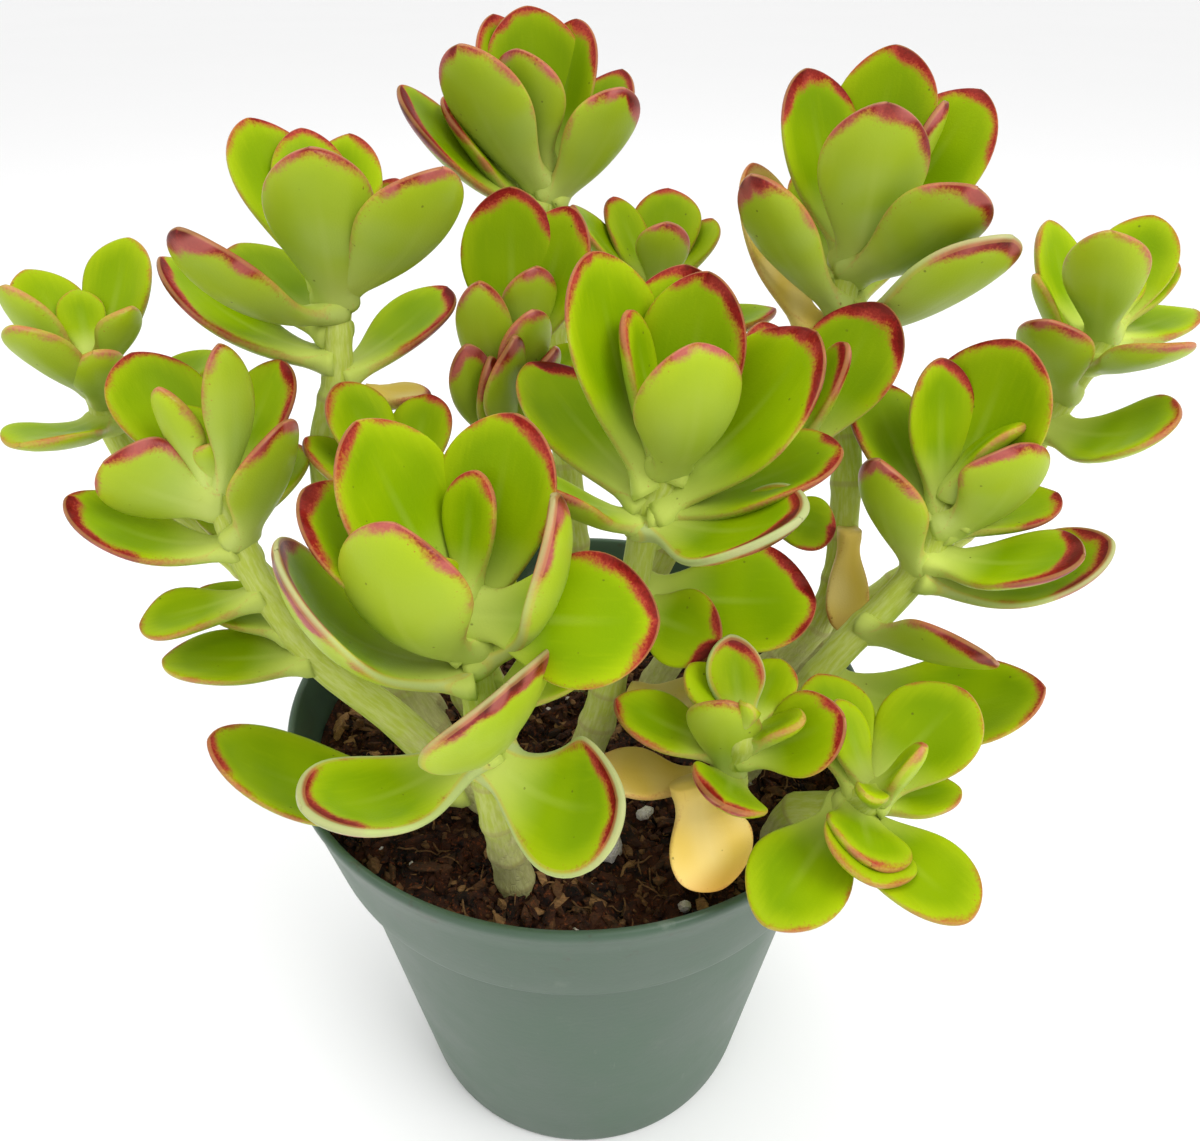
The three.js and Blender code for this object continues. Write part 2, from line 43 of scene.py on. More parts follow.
# plant layout, the same as the frame's. Stem: points from the mix to the tip. Leaf: distance below the tip,
# heading, lift, length, bend, width as a share of length (0.56), roll (0); lengths in mm, angles in degrees
soilTop = 86
shoots = {
  "shoot_front": {
    "stem": [[-10, -37, soilTop], [-12, -39, 110], [-13, -38, 129], [-14, -36, 143]],
    "leaves": [[0, 88, 20, 3.5, 10, 0.6], [1, 140, 62, 7, 20, 0.42], [1, 76, 66, 18, 20, 0.5, -20],
      [7, 233, 68, 29, 95, 0.62, 20], [4, 153, 62, 30.5, 28, 0.66], [4, 61, 62, 29, 28, 0.64],
      [9, 352, 66, 31, 80, 0.5], [7, 168, 47, 30, 25, 0.58], [2, 341, 11, 27, 12, 0.64, 50],
      [11, 188, 44, 35, 95, 0.7, 12], [24, 292, 58, 28, 35, 0.8, 26], [23, 219, 10, 29.5, 75, 0.62, 2],
      [25, 322, 15, 28, 88, 0.66, 46], [14, 100, 38, 26, 30, 0.55], [18, 30, 20, 24, 30, 0.55]],
  },
  "shoot_left": {
    "stem": [[-10, -26, soilTop], [-20, -26, 100], [-31, -22, 110], [-42, -18, 118], [-50, -13, 128],
      [-54, -10, 139], [-56, -8, 147]],
    "leaves": [[0, 306, 62, 6.5, 20, 0.7], [1, 130, 41, 13, 15, 0.6], [2, 200, 76, 17, 20, 0.42, 50],
      [3, 350, 76, 25, 40, 0.3, -40], [4, 140, 49, 25.5, 30, 0.6], [4, 57, 45, 23.5, 25, 0.54],
      [5, 198, 32, 17.5, 35, 0.85, 85], [11, 347, 60, 24.5, 30, 0.62, -10], [12, 182, 20, 28, 80, 0.5],
      [21, 195, -8, 20, 20, 0.6], [29, 150, 5, 21, 20, 0.5], [34, 185, 3, 24, 25, 0.6],
      [66, 192, 25, 44.5, 84, 0.43], [9, 70, 15, 20, 30, 0.55], [15, 120, 20, 22, 30, 0.5]],
  },
  "shoot_centre": {
    "stem": [[-1, -18, soilTop], [5, -17, 110], [9, -15, 129], [11, -13, 141], [14, -11, 150]],
    "leaves": [[0, 80, 65, 7, 10, 0.6], [1, 142, 72, 24, 25, 0.42, 15], [0.5, 285, 68, 26, 75, 0.6],
      [3, 52, 71, 31, 30, 0.56], [4, 140, 68, 35.5, 30, 0.58], [4, 76, 62, 33, 25, 0.56],
      [7, 5, 50, 35, 35, 0.64, 14], [8, 354, 24, 30, 30, 0.64], [7, 136, 30, 31, 25, 0.56],
      [9, 314, 23, 30, 48, 0.64, 12], [22, 356, 0, 29, 25, 0.68, 25], [24, 322, 2, 17, 20, 0.74, 45],
      [10, 210, 35, 28, 30, 0.52], [12, 60, 25, 28, 30, 0.52]],
  },
  "shoot_right": {
    "stem": [[29, -14, soilTop], [44, -12, 114], [51, -10, 122], [57, -8, 131], [59, -6, 141]],
    "leaves": [[0, 67, 37, 6, 10, 0.6], [0, 5, 52, 17, -50, 0.5, -20], [3, 104, 69, 25, 25, 0.45],
      [5, 330, 64, 20.5, 75, 0.72, -50], [4, 42, 68, 30, 30, 0.68], [4, 119, 37, 27, 25, 0.58],
      [5, 16, 8, 22, 30, 0.6], [12, 200, 61, 25, 30, 0.46, 20], [10, 318, 24, 25, 45, 0.62, 10],
      [13, 350, 18, 32, 85, 0.6], [25.5, 306, 20, 24, 25, 0.6, -50], [37, 342, 10, 38, 75, 0.5, 10],
      [10, 60, 20, 26, 30, 0.54], [13, 75, 20, 22, 30, 0.54]],
  },
  "shoot_back": {
    "stem": [[0, 14, soilTop], [-2, 22, 129], [-5, 34, 154], [-6, 42, 175], [-6, 44, 181]],
    "leaves": [[0, 92, 24, 7, 10, 0.6], [1, 239, 71, 21, 25, 0.66], [3, 53, 68, 27, 25, 0.5],
      [3, 143, 68, 28, 28, 0.56], [4, 110, 76, 29, 28, 0.6], [4, 219, 56, 29, 35, 0.54, 30],
      [6, 346, 52, 24, 35, 0.58, -40], [7, 42, 48, 28, 30, 0.6], [7, 188, 40, 32, 50, 0.48, -15],
      [10, 172, 50, 27, 25, 0.46], [11, 95, 40, 28, 30, 0.54]],
  },
  "shoot_back_right": {
    "stem": [[27, 2, soilTop], [45, 2, 113], [47, 8, 133], [46, 15, 148], [45, 21, 162], [46, 24, 169],
      [48, 26, 174]],
    "leaves": [[0, 70, 32, 7, 10, 0.6], [5, 265, 68, 28, 35, 0.6], [2, 358, 65, 24, 25, 0.42, -20],
      [3, 66, 73, 31, 28, 0.54], [4, 155, 67, 30, 30, 0.56, -30], [4, 19, 52, 31, 28, 0.56, 30],
      [7, 305, 39, 28, 35, 0.54, -40], [13, 197, 50, 30, 30, 0.37, 40], [16, 320, 38, 32, 40, 0.54, -25],
      [9, 98, 34, 27, 30, 0.52], [13, 60, 30, 28, 30, 0.54]],
  },
  "shoot_back_left": {
    "stem": [[-22, -12, soilTop], [-32, -9, 106], [-40, -2, 127], [-42, 5, 144], [-39, 8, 155],
      [-38, 11, 167], [-38, 12, 173]],
    "leaves": [[0, 93, 19, 7, 10, 0.6], [6, 284, 67, 27, 35, 0.58], [2, 84, 48, 24, 25, 0.54],
      [3, 112, 58, 24, 22, 0.52], [4, 140, 56, 28, 28, 0.56], [4, 337, 42, 30, 45, 0.54, -28],
      [5, 55, 42, 22, 30, 0.56], [7, 236, 36, 32, 75, 0.4, 12], [11, 142, 23, 26, 30, 0.56],
      [15, 179, 33, 31, 60, 0.5], [18, 46, 21, 26, 30, 0.54]],
  },
  "shoot_far_left": {
    "stem": [[-30, 4, soilTop], [-47, 4, 104], [-61, 6, 121], [-73, 7, 135], [-78, 8, 147], [-78, 8, 158]],
    "leaves": [[0, 112, 45, 13, 20], [1, 10, 49, 13, 25, 0.6, -35], [2, 75, 48, 24, 28, 0.54],
      [3, 140, 47, 21, 25, 0.58], [4, 215, 66, 20, 30, 0.54, 25], [4, 264, 47, 21, 30, 0.48],
      [6, 304, 48, 15, 30, 0.6], [10, 259, 14, 20, 20, 0.7], [9, 50, 12, 22, 30, 0.5],
      [9, 120, 30, 18, 30, 0.5]],
  },
  "shoot_far_right": {
    "stem": [[36, 8, soilTop], [65, 10, 119], [74, 12, 130], [82, 15, 144], [87, 17, 155], [90, 18, 162]],
    "leaves": [[0, 50, 37, 10, 20, 0.5], [2, 36, 30, 18, 25, 0.42], [3, 226, 58, 23, 35, 0.54, 15],
      [4, 52, 50, 23, 28, 0.58], [4, 21, 8, 20, 30, 0.6], [6, 120, 51, 24, 40, 0.5],
      [8, 281, 28, 22, 30, 0.56], [8, 160, 50, 18, 25, 0.56], [14, 216, 52, 20, 30, 0.62, 10],
      [20, 292, 26, 27, 55, 0.58, 30], [9, 80, 25, 22, 30, 0.54]],
  },
  "shoot_front_low": {
    "stem": [[20, -30, soilTop], [23.5, -35, 110], [25, -38, 123]],
    "leaves": [[0, 235, 69, 5, 10, 0.6], [5, 330, 45, 12, 20, 0.55], [3, 130, 26, 13, 25, 0.58],
      [3, 60, 18, 14, 25, 0.6], [4, 100, 50, 15, 25, 0.58], [6, 40, -2, 13, 25],
      [12, 232, 75, 17, 30, 0.64, 25], [8, 342, 38, 18, 30, 0.68, 35], [9, 162, 17, 20, 30, 0.54],
      [14, 258, 31, 17, 20, 0.72, -24]],
  },
  "shoot_front_right": {
    "stem": [[34, -29, soilTop], [36, -31.5, 97], [41, -37, 104.5], [44.5, -41, 111.5]],
    "leaves": [[0, 230, 40, 8, 20, 0.6], [1, 335, 68, 13, 20, 0.5], [2, 112, 42, 15, 20, 0.46],
      [3, 104, 24, 21, 25, 0.6], [4, 32, 34, 23, 25, 0.7], [5, 5, 4, 16, 25],
      [6, 263, 14, 19, 20, 0.74, -22], [6, 263, 19, 17, 20, 0.76, -22], [7, 233, -2, 26, 10],
      [8, 294, 9, 26, 10]],
  },
  "shoot_middle": {
    "stem": [[-14, 2, soilTop], [-21, 6, 103], [-15, 12, 130], [-12, 18, 147], [-11, 20, 156]],
    "leaves": [[0, 93, 19, 6, 10, 0.6], [2, 336, 73, 17.5, 25, 0.56, -45], [3, 24, 66, 28, 25, 0.5, 35],
      [4, 86, 76, 30, 25, 0.56], [6, 128, 55, 18, 25, 0.54], [17, 287, 63, 27, 20, 0.42, 50],
      [18, 268, 66, 23, 20, 0.34, 70], [18, 240, 69, 24, 20, 0.36, 60], [12, 236, 78, 26, 20, 0.36, 40],
      [14, 316, 70, 25, 25, 0.46], [16, 330, 60, 22, 25, 0.48], [8, 40, 15, 18, 25, 0.5]],
  },
  "shoot_back_small": {
    "stem": [[8, 22, soilTop], [21, 26, 127], [17, 32, 145], [15, 36, 159], [14, 37, 163]],
    "leaves": [[1, 90, 60, 7, 10, 0.6], [2, 275, 64, 15, 30, 0.64], [3, 48, 33, 19, 25, 0.4],
      [3, 82, 43, 22, 25, 0.6], [4, 130, 48, 21, 25, 0.45], [5, 172, 46, 24, 30, 0.54],
      [10, 10, 8, 22, 30, 0.52], [10, 230, 35, 20, 30, 0.52]],
  },
  "shoot_right_small": {
    "stem": [[12, 4, soilTop], [22, 2, 112], [31, 1, 135], [35, 0, 148]],
    "leaves": [[0, 76, 58, 8, 20, 0.5], [3, 32, 54, 28, 30, 0.6, 15], [2, 345, 72, 20, 20, 0.4, 20],
      [3, 116, 61, 22, 25, 0.54], [9, 90, 20, 20, 25, 0.52], [14, 345, -8, 13, 20, 0.75, 40]],
  },
  "shoot_left_small": {
    "stem": [[-16, -9, soilTop], [-22, -9, 112], [-26, -8, 134], [-27.5, -7, 145]],
    "leaves": [[1, 270, 70, 9, 20, 0.56], [3, 142, 54, 20, 28, 0.6], [3, 75, 40, 18, 25, 0.6],
      [5, 165, 33, 19, 25, 0.5], [8, 20, 20, 16, 25, 0.5]],
  },
}

oldLeaves = {
  "old_leaf_back": {"root": [41, 22.5, 158.1], "leaf": [0, 144, 60, 30, 35, 0.48, -12]},
  "old_leaf_left": {"root": [-35.1, 9.1, 151.7], "leaf": [0, 4, 0, 11, 20, 0.75]},
  "old_leaf_right": {"root": [46.9, 2.1, 130.1], "leaf": [0, 275, -72, 19, 12, 0.42]},
  "old_leaf_front": {"root": [17.5, -38, 111], "leaf": [0, 296, -54, 17, 20, 0.82]},
  "old_leaf_under": {"root": [20.1, -34, 106.7], "leaf": [0, 178, 6, 18, 20, 0.56]},
  "old_leaf_centre": {"root": [8.8, -20.2, 112], "leaf": [0, 340, 19, 19, 25, 0.54]},
}

# how strongly each shoot blushes and how bright its green is
shootMood = {
    "shoot_front": (1.05, 1.06), "shoot_left": (0.95, 1.0), "shoot_centre": (1.1, 1.02),
    "shoot_right": (1.1, 1.0), "shoot_back": (1.1, 0.86), "shoot_back_right": (1.2, 0.94),
    "shoot_back_left": (0.9, 0.95), "shoot_far_left": (0.25, 0.95), "shoot_far_right": (0.5, 1.0),
    "shoot_front_low": (0.8, 0.98), "shoot_front_right": (0.45, 1.0), "shoot_middle": (1.0, 0.85),
    "shoot_back_small": (0.9, 0.85), "shoot_right_small": (1.2, 0.85), "shoot_left_small": (0.8, 0.95),
}

mm = 0.001
sunSide = Vector((0.3, -0.2, 0.93)).normalized()   # the side that margins redden on


def rad(angle):
    return angle * math.pi / 180


# small helpers for node trees
def node(tree, kind, inputs=None, **settings):
    made = tree.nodes.new(kind)
    for key, value in settings.items():
        setattr(made, key, value)
    for key, value in (inputs or {}).items():
        if isinstance(value, bpy.types.NodeSocket):
            tree.links.new(value, made.inputs[key])
        else:
            made.inputs[key].default_value = value
    return made


def calc(tree, operation, a, b=0.0, c=0.0):
    return node(tree, "ShaderNodeMath", {0: a, 1: b, 2: c}, operation=operation).outputs[0]


def times(tree, a, b):
    return calc(tree, "MULTIPLY", a, b)


def plusTimes(tree, base, a, b):
    return calc(tree, "MULTIPLY_ADD", a, b, base)


def swayed(tree, base, grain, amount):
    # base moved up and down by a noise from 0 to 1
    return plusTimes(tree, base, calc(tree, "SUBTRACT", grain, 0.5), amount)


def step(tree, value, low, high, first=0.0, last=1.0):
    made = node(tree, "ShaderNodeMapRange", {0: value, 1: low, 2: high, 3: first, 4: last},
                interpolation_type="SMOOTHSTEP")
    return made.outputs[0]


def blendColor(tree, factor, a, b):
    a, b = (value if isinstance(value, bpy.types.NodeSocket) else (*value, 1.0) for value in (a, b))
    return node(tree, "ShaderNodeMix", {0: factor, 6: a, 7: b}, data_type="RGBA").outputs[2]


def noiseAt(tree, vector, scale, detail=2.0, roughness=0.5):
    made = node(tree, "ShaderNodeTexNoise", {"Vector": vector, "Scale": scale, "Detail": detail,
                                             "Roughness": roughness})
    return made.outputs[0]


def cellsAt(tree, vector, scale, feature="F1"):
    made = node(tree, "ShaderNodeTexVoronoi", {"Vector": vector, "Scale": scale}, feature=feature)
    return made.outputs["Distance"]


def attribute(tree, name, output="Fac"):
    return node(tree, "ShaderNodeAttribute", attribute_name=name).outputs[output]


def stretch(tree, vector, x, y, z):
    return node(tree, "ShaderNodeVectorMath", {0: vector, 1: (x, y, z)}, operation="MULTIPLY").outputs[0]


def axes(tree, vector):
    return node(tree, "ShaderNodeSeparateXYZ", {0: vector}).outputs


surface = {"Color": "Color", "Roughness": "Float", "Height": "Float"}


def newGroup(name, inputs, outputs):
    tree = bpy.data.node_groups.new(name, "ShaderNodeTree")
    for way, sockets in (("INPUT", inputs), ("OUTPUT", outputs)):
        for label, kind in sockets.items():
            tree.interface.new_socket(label, in_out=way, socket_type="NodeSocket" + kind)
    start = tree.nodes.new("NodeGroupInput")
    return tree, start.outputs, tree.nodes.new("NodeGroupOutput")


def feed(tree, target, values):
    for label, socket in values.items():
        tree.links.new(socket, target.inputs[label])
    return tree


def useGroup(tree, group, inputs):
    return node(tree, "ShaderNodeGroup", inputs, node_tree=group).outputs


def newMaterial(name, specular=0.5):
    material = bpy.data.materials.new(name)
    material.use_nodes = True
    tree = material.node_tree
    tree.nodes.clear()
    shader = node(tree, "ShaderNodeBsdfPrincipled", {"Specular IOR Level": specular})
    node(tree, "ShaderNodeOutputMaterial", {"Surface": shader.outputs[0]})
    return material, tree, shader


def dress(tree, shader, made, strength, depth):
    # colour, roughness and relief of a shared effect go to the shader
    bump = node(tree, "ShaderNodeBump", {"Height": made["Height"], "Strength": strength, "Distance": depth})
    feed(tree, shader, {"Base Color": made["Color"], "Roughness": made["Roughness"],
                        "Normal": bump.outputs[0]})


def placedMaterial(name, group, form, withTone=False):
    # a surface that goes by the place in the object
    material, tree, shader = newMaterial(name, form["specular"])
    inputs = {"Place": node(tree, "ShaderNodeTexCoord").outputs["Object"]}
    if withTone:
        inputs["Tone"] = attribute(tree, "pieceTone")
    dress(tree, shader, useGroup(tree, group, inputs), form["bump"], form["depth"])
    return material


# small helpers for pieces
def addObject(name, data):
    made = bpy.data.objects.new(name, data)
    bpy.context.scene.collection.objects.link(made)
    return made


def addPiece(name, mesh, smooth=True):
    mesh.polygons.foreach_set("use_smooth", [smooth] * len(mesh.polygons))
    return addObject(name, mesh)


# leaf skin
leafLook = {
    # the deeper inner green is a painted shade colour, a shaded copy of the inner green
    # the lit green is a painted light colour: it lightens the margin as if lit through, and tints faint
    # streaks
    "inner": (0.262, 0.385, 0.001), "innerPaintedShade": (0.15, 0.27, 0.0005), "lit": (0.39, 0.49, 0.005),
    "outer": (0.35, 0.46, 0.010), "foot": (0.52, 0.60, 0.13),
    "crimson": (0.20, 0.010, 0.006), "scarlet": (0.37, 0.042, 0.020), "mauve": (0.44, 0.12, 0.10),
    # the rim colour is a painted highlight for the leaf outline
    "darkRed": (0.095, 0.005, 0.002), "rim": (0.60, 0.36, 0.11), "bloom": (0.42, 0.52, 0.22),
    "yellow": (0.68, 0.47, 0.09), "straw": (0.72, 0.54, 0.19), "orange": (0.50, 0.13, 0.005),
    "speck": (0.08, 0.07, 0.01), "roughness": 0.4, "feather": 0.55, "bump": 0.5, "depth": 0.0006,
}


def flushGroup():
    # red margin: solid at the edge, feathered and speckled on its inner side; also a painted highlight line
    # along the very outline
    tree, start, end = newGroup("Margin flush", {"Band": "Float", "Edge": "Float", "Spot": "Vector",
                                                 "Broad": "Float"},
                                {"Red": "Float", "Shade": "Float", "Rim": "Float"})
    fine = noiseAt(tree, start["Spot"], 2.4, 3.0, 0.7)
    ragged = swayed(tree, start["Band"], start["Broad"], 0.5)
    ragged = swayed(tree, ragged, fine, 1.1)
    solid = step(tree, ragged, -leafLook["feather"], leafLook["feather"])
    dots = step(tree, cellsAt(tree, start["Spot"], 2.0), 0.30, 0.16)
    reach = step(tree, start["Band"], -1.3, -0.1)
    spots = times(tree, times(tree, dots, reach), step(tree, fine, 0.48, 0.6))
    red = calc(tree, "MAXIMUM", solid, times(tree, spots, 0.7))
    red = times(tree, red, step(tree, start["Band"], -1.6, -0.7))
    # painted highlight: a thin line just inside the outline
    rim = step(tree, start["Edge"], 0.16, 0.02)
    return feed(tree, end, {"Red": red, "Shade": fine, "Rim": rim})


def greenGroup():
    # green of the blade: pale foot, inner face mottled with painted shade, paler outer face with a faint
    # midrib, and painted light towards the thin margin
    tree, start, end = newGroup("Leaf green", {"Face": "Float", "Along": "Float", "Spot": "Vector",
                                               "Tint": "Vector", "Soft": "Vector", "Edge": "Float"},
                                {"Color": "Color", "Bloom": "Float"})
    tint = axes(tree, start["Tint"])
    soft = axes(tree, start["Soft"])
    middle = calc(tree, "ABSOLUTE", axes(tree, start["Spot"])[0])
    streaks = noiseAt(tree, stretch(tree, start["Spot"], 1.0, 0.12, 1.0), 1.3, 2.0, 0.6)
    # painted shade: the inner face is blended in soft random patches towards a darker, shaded copy of its
    # green
    inner = blendColor(tree, plusTimes(tree, 0.3, soft[0], 0.5), leafLook["innerPaintedShade"], leafLook["inner"])
    outer = blendColor(tree, plusTimes(tree, 0.6, soft[0], 0.3), leafLook["inner"], leafLook["outer"])
    face = step(tree, start["Face"], 0.5, -0.5)
    green = blendColor(tree, face, inner, outer)
    green = blendColor(tree, step(tree, streaks, 0.5, 0.8, 0.0, 0.1), green, leafLook["lit"])
    # painted light: the blade lightens towards its thin margin as if lit through it
    lit = step(tree, plusTimes(tree, start["Edge"], streaks, 2.0), 4.6, 1.0, 0.0, 0.6)
    green = blendColor(tree, lit, green, leafLook["lit"])
    midrib = times(tree, step(tree, middle, 1.0, 0.1), step(tree, start["Along"], 0.9, 0.3))
    green = blendColor(tree, times(tree, midrib, 0.16), green, leafLook["foot"])
    foot = step(tree, start["Along"], 0.5, 0.08)
    green = blendColor(tree, times(tree, foot, 0.85), green, leafLook["foot"])
    bloom = times(tree, step(tree, soft[1], -0.2, 1.1, 0.3, 1.0), step(tree, face, 0.0, 1.0, 0.0, 0.3))
    bloom = times(tree, bloom, step(tree, start["Along"], 0.9, 0.4, 0.15, 1.0))
    bloom = times(tree, bloom, tint[2])
    green = blendColor(tree, bloom, green, leafLook["bloom"])
    aged = blendColor(tree, soft[1], leafLook["yellow"], leafLook["straw"])
    aged = blendColor(tree, step(tree, start["Along"], 0.7, 1.0, 0.0, 0.35), aged, leafLook["orange"])
    green = blendColor(tree, tint[1], green, aged)
    dots = step(tree, cellsAt(tree, start["Spot"], 0.3), 0.075, 0.045)
    specks = times(tree, dots, step(tree, streaks, 0.42, 0.55))
    green = blendColor(tree, times(tree, specks, 0.6), green, leafLook["speck"])
    bright = node(tree, "ShaderNodeVectorMath", {0: green, "Scale": tint[0]}, operation="SCALE").outputs[0]
    return feed(tree, end, {"Color": bright, "Bloom": bloom})


def waxGroup():
    # roughness and relief of the waxy skin
    tree, start, end = newGroup("Wax", {"Spot": "Vector", "Red": "Float", "Bloom": "Float",
                                        "Soft": "Vector", "Along": "Float"},
                                {"Roughness": "Float", "Height": "Float"})
    soft = axes(tree, start["Soft"])
    middle = calc(tree, "ABSOLUTE", axes(tree, start["Spot"])[0])
    rough = plusTimes(tree, leafLook["roughness"] - 0.05, soft[2], 0.14)
    rough = plusTimes(tree, rough, start["Bloom"], 0.2)
    rough = plusTimes(tree, rough, start["Red"], -0.05)
    cells = cellsAt(tree, start["Spot"], 3.2)
    groove = times(tree, step(tree, middle, 0.9, 0.0), step(tree, start["Along"], 0.9, 0.2))
    height = plusTimes(tree, times(tree, cells, 0.05), groove, -0.12)
    return feed(tree, end, {"Roughness": rough, "Height": height})


def leafSkin():
    material, tree, shader = newMaterial("leafSkin")
    spot = attribute(tree, "leafSpot", "Vector")
    along = attribute(tree, "leafAlong")
    soft = attribute(tree, "leafSoft", "Vector")
    face = attribute(tree, "leafFace")
    edge = attribute(tree, "leafEdge")
    green = useGroup(tree, greenGroup(), {"Face": face, "Along": along, "Spot": spot, "Soft": soft,
                                          "Edge": edge, "Tint": attribute(tree, "leafTint", "Vector")})
    broad = axes(tree, soft)[2]
    band = attribute(tree, "leafBand")
    flush = useGroup(tree, flushGroup(), {"Band": band, "Edge": edge, "Spot": spot, "Broad": broad})
    # scarlet where the flush is thin, dark where it is deep, mauve under the bloom of the outer face
    depth = swayed(tree, band, flush["Shade"], 2.2)
    red = blendColor(tree, step(tree, depth, 0.1, 0.9), leafLook["scarlet"], leafLook["crimson"])
    red = blendColor(tree, step(tree, depth, 0.8, 1.7), red, leafLook["darkRed"])
    outward = step(tree, face, 0.4, -0.6)
    bloomed = times(tree, step(tree, broad, 0.2, 0.9), step(tree, outward, 0.0, 1.0, 0.1, 0.65))
    red = blendColor(tree, bloomed, red, leafLook["mauve"])
    base = blendColor(tree, flush["Red"], green["Color"], red)
    # painted highlight: a thin orange line along the outline
    base = blendColor(tree, times(tree, flush["Rim"], 0.3), base, leafLook["rim"])
    base = blendColor(tree, step(tree, edge, -0.1, -0.6, 0.0, 0.75), base, leafLook["bloom"])
    wax = useGroup(tree, waxGroup(), {"Spot": spot, "Red": flush["Red"], "Bloom": green["Bloom"],
                                      "Soft": soft, "Along": along})
    feed(tree, shader, {"Specular IOR Level": step(tree, face, 0.5, -0.5, 0.05, 0.22)})
    made = {"Color": base, "Roughness": wax["Roughness"], "Height": wax["Height"]}
    dress(tree, shader, made, leafLook["bump"], leafLook["depth"])
    return material


# stem skin
stemLook = {
    "green": (0.42, 0.49, 0.06), "pale": (0.50, 0.56, 0.15), "cork": (0.52, 0.50, 0.24),
    "corkDark": (0.42, 0.39, 0.18), "scar": (0.36, 0.28, 0.12), "corkHeight": 0.30,
    "specular": 0.16, "bump": 0.35, "depth": 0.0006,
}


def barkGroup():
    # smooth green above, tan cork with leaf scars near the mix
    tree, start, end = newGroup("Stem bark", {"Spot": "Vector", "Up": "Float", "Scar": "Float"}, surface)
    streak = noiseAt(tree, stretch(tree, start["Spot"], 1.0, 0.18, 1.0), 1.6, 3.0, 0.6)
    mottle = noiseAt(tree, start["Spot"], 0.5, 2.0, 0.6)
    green = blendColor(tree, step(tree, streak, 0.35, 0.68), stemLook["green"], stemLook["pale"])
    cork = blendColor(tree, step(tree, streak, 0.35, 0.65), stemLook["corkDark"], stemLook["cork"])
    level = swayed(tree, start["Up"], mottle, 0.35)
    woody = step(tree, level, stemLook["corkHeight"] + 0.12, stemLook["corkHeight"] - 0.2)
    bare = blendColor(tree, times(tree, woody, 0.8), green, cork)
    ring = step(tree, start["Scar"], 0.75, 0.25)
    bare = blendColor(tree, times(tree, ring, 0.45), bare, stemLook["scar"])
    cracks = cellsAt(tree, stretch(tree, start["Spot"], 1.0, 0.3, 1.0), 1.5, "DISTANCE_TO_EDGE")
    split = times(tree, step(tree, cracks, 0.12, 0.0), woody)
    bare = blendColor(tree, times(tree, split, 0.5), bare, stemLook["corkDark"])
    fine = noiseAt(tree, start["Spot"], 3.0, 2.0, 0.6)
    height = plusTimes(tree, times(tree, fine, 0.25), streak, 0.5)
    height = plusTimes(tree, height, split, -0.6)
    rough = step(tree, woody, 0.0, 1.0, 0.46, 0.78)
    return feed(tree, end, {"Color": bare, "Roughness": plusTimes(tree, rough, fine, 0.1),
                            "Height": height})


def stemSkin():
    material, tree, shader = newMaterial("stemSkin", stemLook["specular"])
    bark = useGroup(tree, barkGroup(), {
        "Spot": attribute(tree, "leafSpot", "Vector"), "Up": attribute(tree, "leafAlong"),
        "Scar": attribute(tree, "leafEdge")})
    dress(tree, shader, bark, stemLook["bump"], stemLook["depth"])
    return material


# leaf form: half thickness in mm, places and widths as shares, twist in degrees
leafForm = {
    "halfThickness": 1.7, "thinning": 0.35, "neck": 0.34, "widest": 0.64, "shoulder": 2.2, "tipRound": 0.62,
    "channel": 0.26, "margin": 2.5, "sides": 28, "innerShare": 0.85, "outerShare": 1.1, "waver": 0.3,
    "twist": 5, "flare": 0.45, "flareReach": 4.0, "variety": 0.03,
}
# how wide the red margin gets, in mm: by sun, at the tip, in patches, and what is taken off everywhere
blush = {"sun": 0.8, "tip": 0.5, "patch": 0.5, "less": 0.25, "from": 0.22, "ramp": 0.35, "spread": 0.15}
leafStations = np.array([0, 0.03, 0.06, 0.09, 0.125, 0.16, 0.2, 0.24, 0.28, 0.32, 0.36, 0.4, 0.44, 0.48, 0.52,
                         0.56, 0.6, 0.64, 0.68, 0.72, 0.76, 0.8, 0.835, 0.865, 0.893, 0.918, 0.94, 0.958,
                         0.973, 0.985, 0.993, 0.998, 1])


def spoonWidth(s, widest):
    # half-width along the leaf as a share of its widest
    rise = np.clip((s - 0.04) / (widest - 0.04), 0, 1)
    fall = np.clip((s - widest) / (1 - widest), 0, 1)
    narrow = leafForm["neck"] + (1 - leafForm["neck"]) * (0.5 - 0.5 * np.cos(np.pi * rise))
    return np.where(s < widest, narrow, (1 - fall ** leafForm["shoulder"]) ** leafForm["tipRound"])


def swell(share):
    # blunt lens across the blade: 1 in the middle, 0 at the margin
    power = leafForm["margin"]
    return np.clip(1 - np.clip(share, 0, 1) ** power, 0, 1) ** (1 / power)


def edgeDistance(points, outline):
    # distance in the blade's plane to its outline, and the outward direction there
    a, b = outline[:-1], outline[1:]
    way = b - a
    size = np.maximum((way ** 2).sum(1), 1e-12)
    rel = points[:, None, :] - a[None]
    t = np.clip((rel * way[None]).sum(2) / size[None], 0, 1)
    apart = rel - t[..., None] * way[None]
    far = np.sqrt((apart ** 2).sum(2))
    pick = far.argmin(1)
    out = np.stack([way[:, 1], -way[:, 0]], 1) / np.sqrt(size)[:, None]
    return far[np.arange(len(points)), pick], out[pick]


def softNoise(x, y, size, draw):
    # smooth patches about size mm across, from 0 to 1
    total = 0
    for _ in range(5):
        turn, phase = draw.uniform(0, 2 * math.pi), draw.uniform(0, 2 * math.pi)
        rate = 2 * math.pi / size * draw.uniform(0.5, 1.4)
        total = total + np.sin(rate * (x * math.cos(turn) + y * math.sin(turn)) + phase)
    return np.clip(0.5 + total / 5, 0, 1)


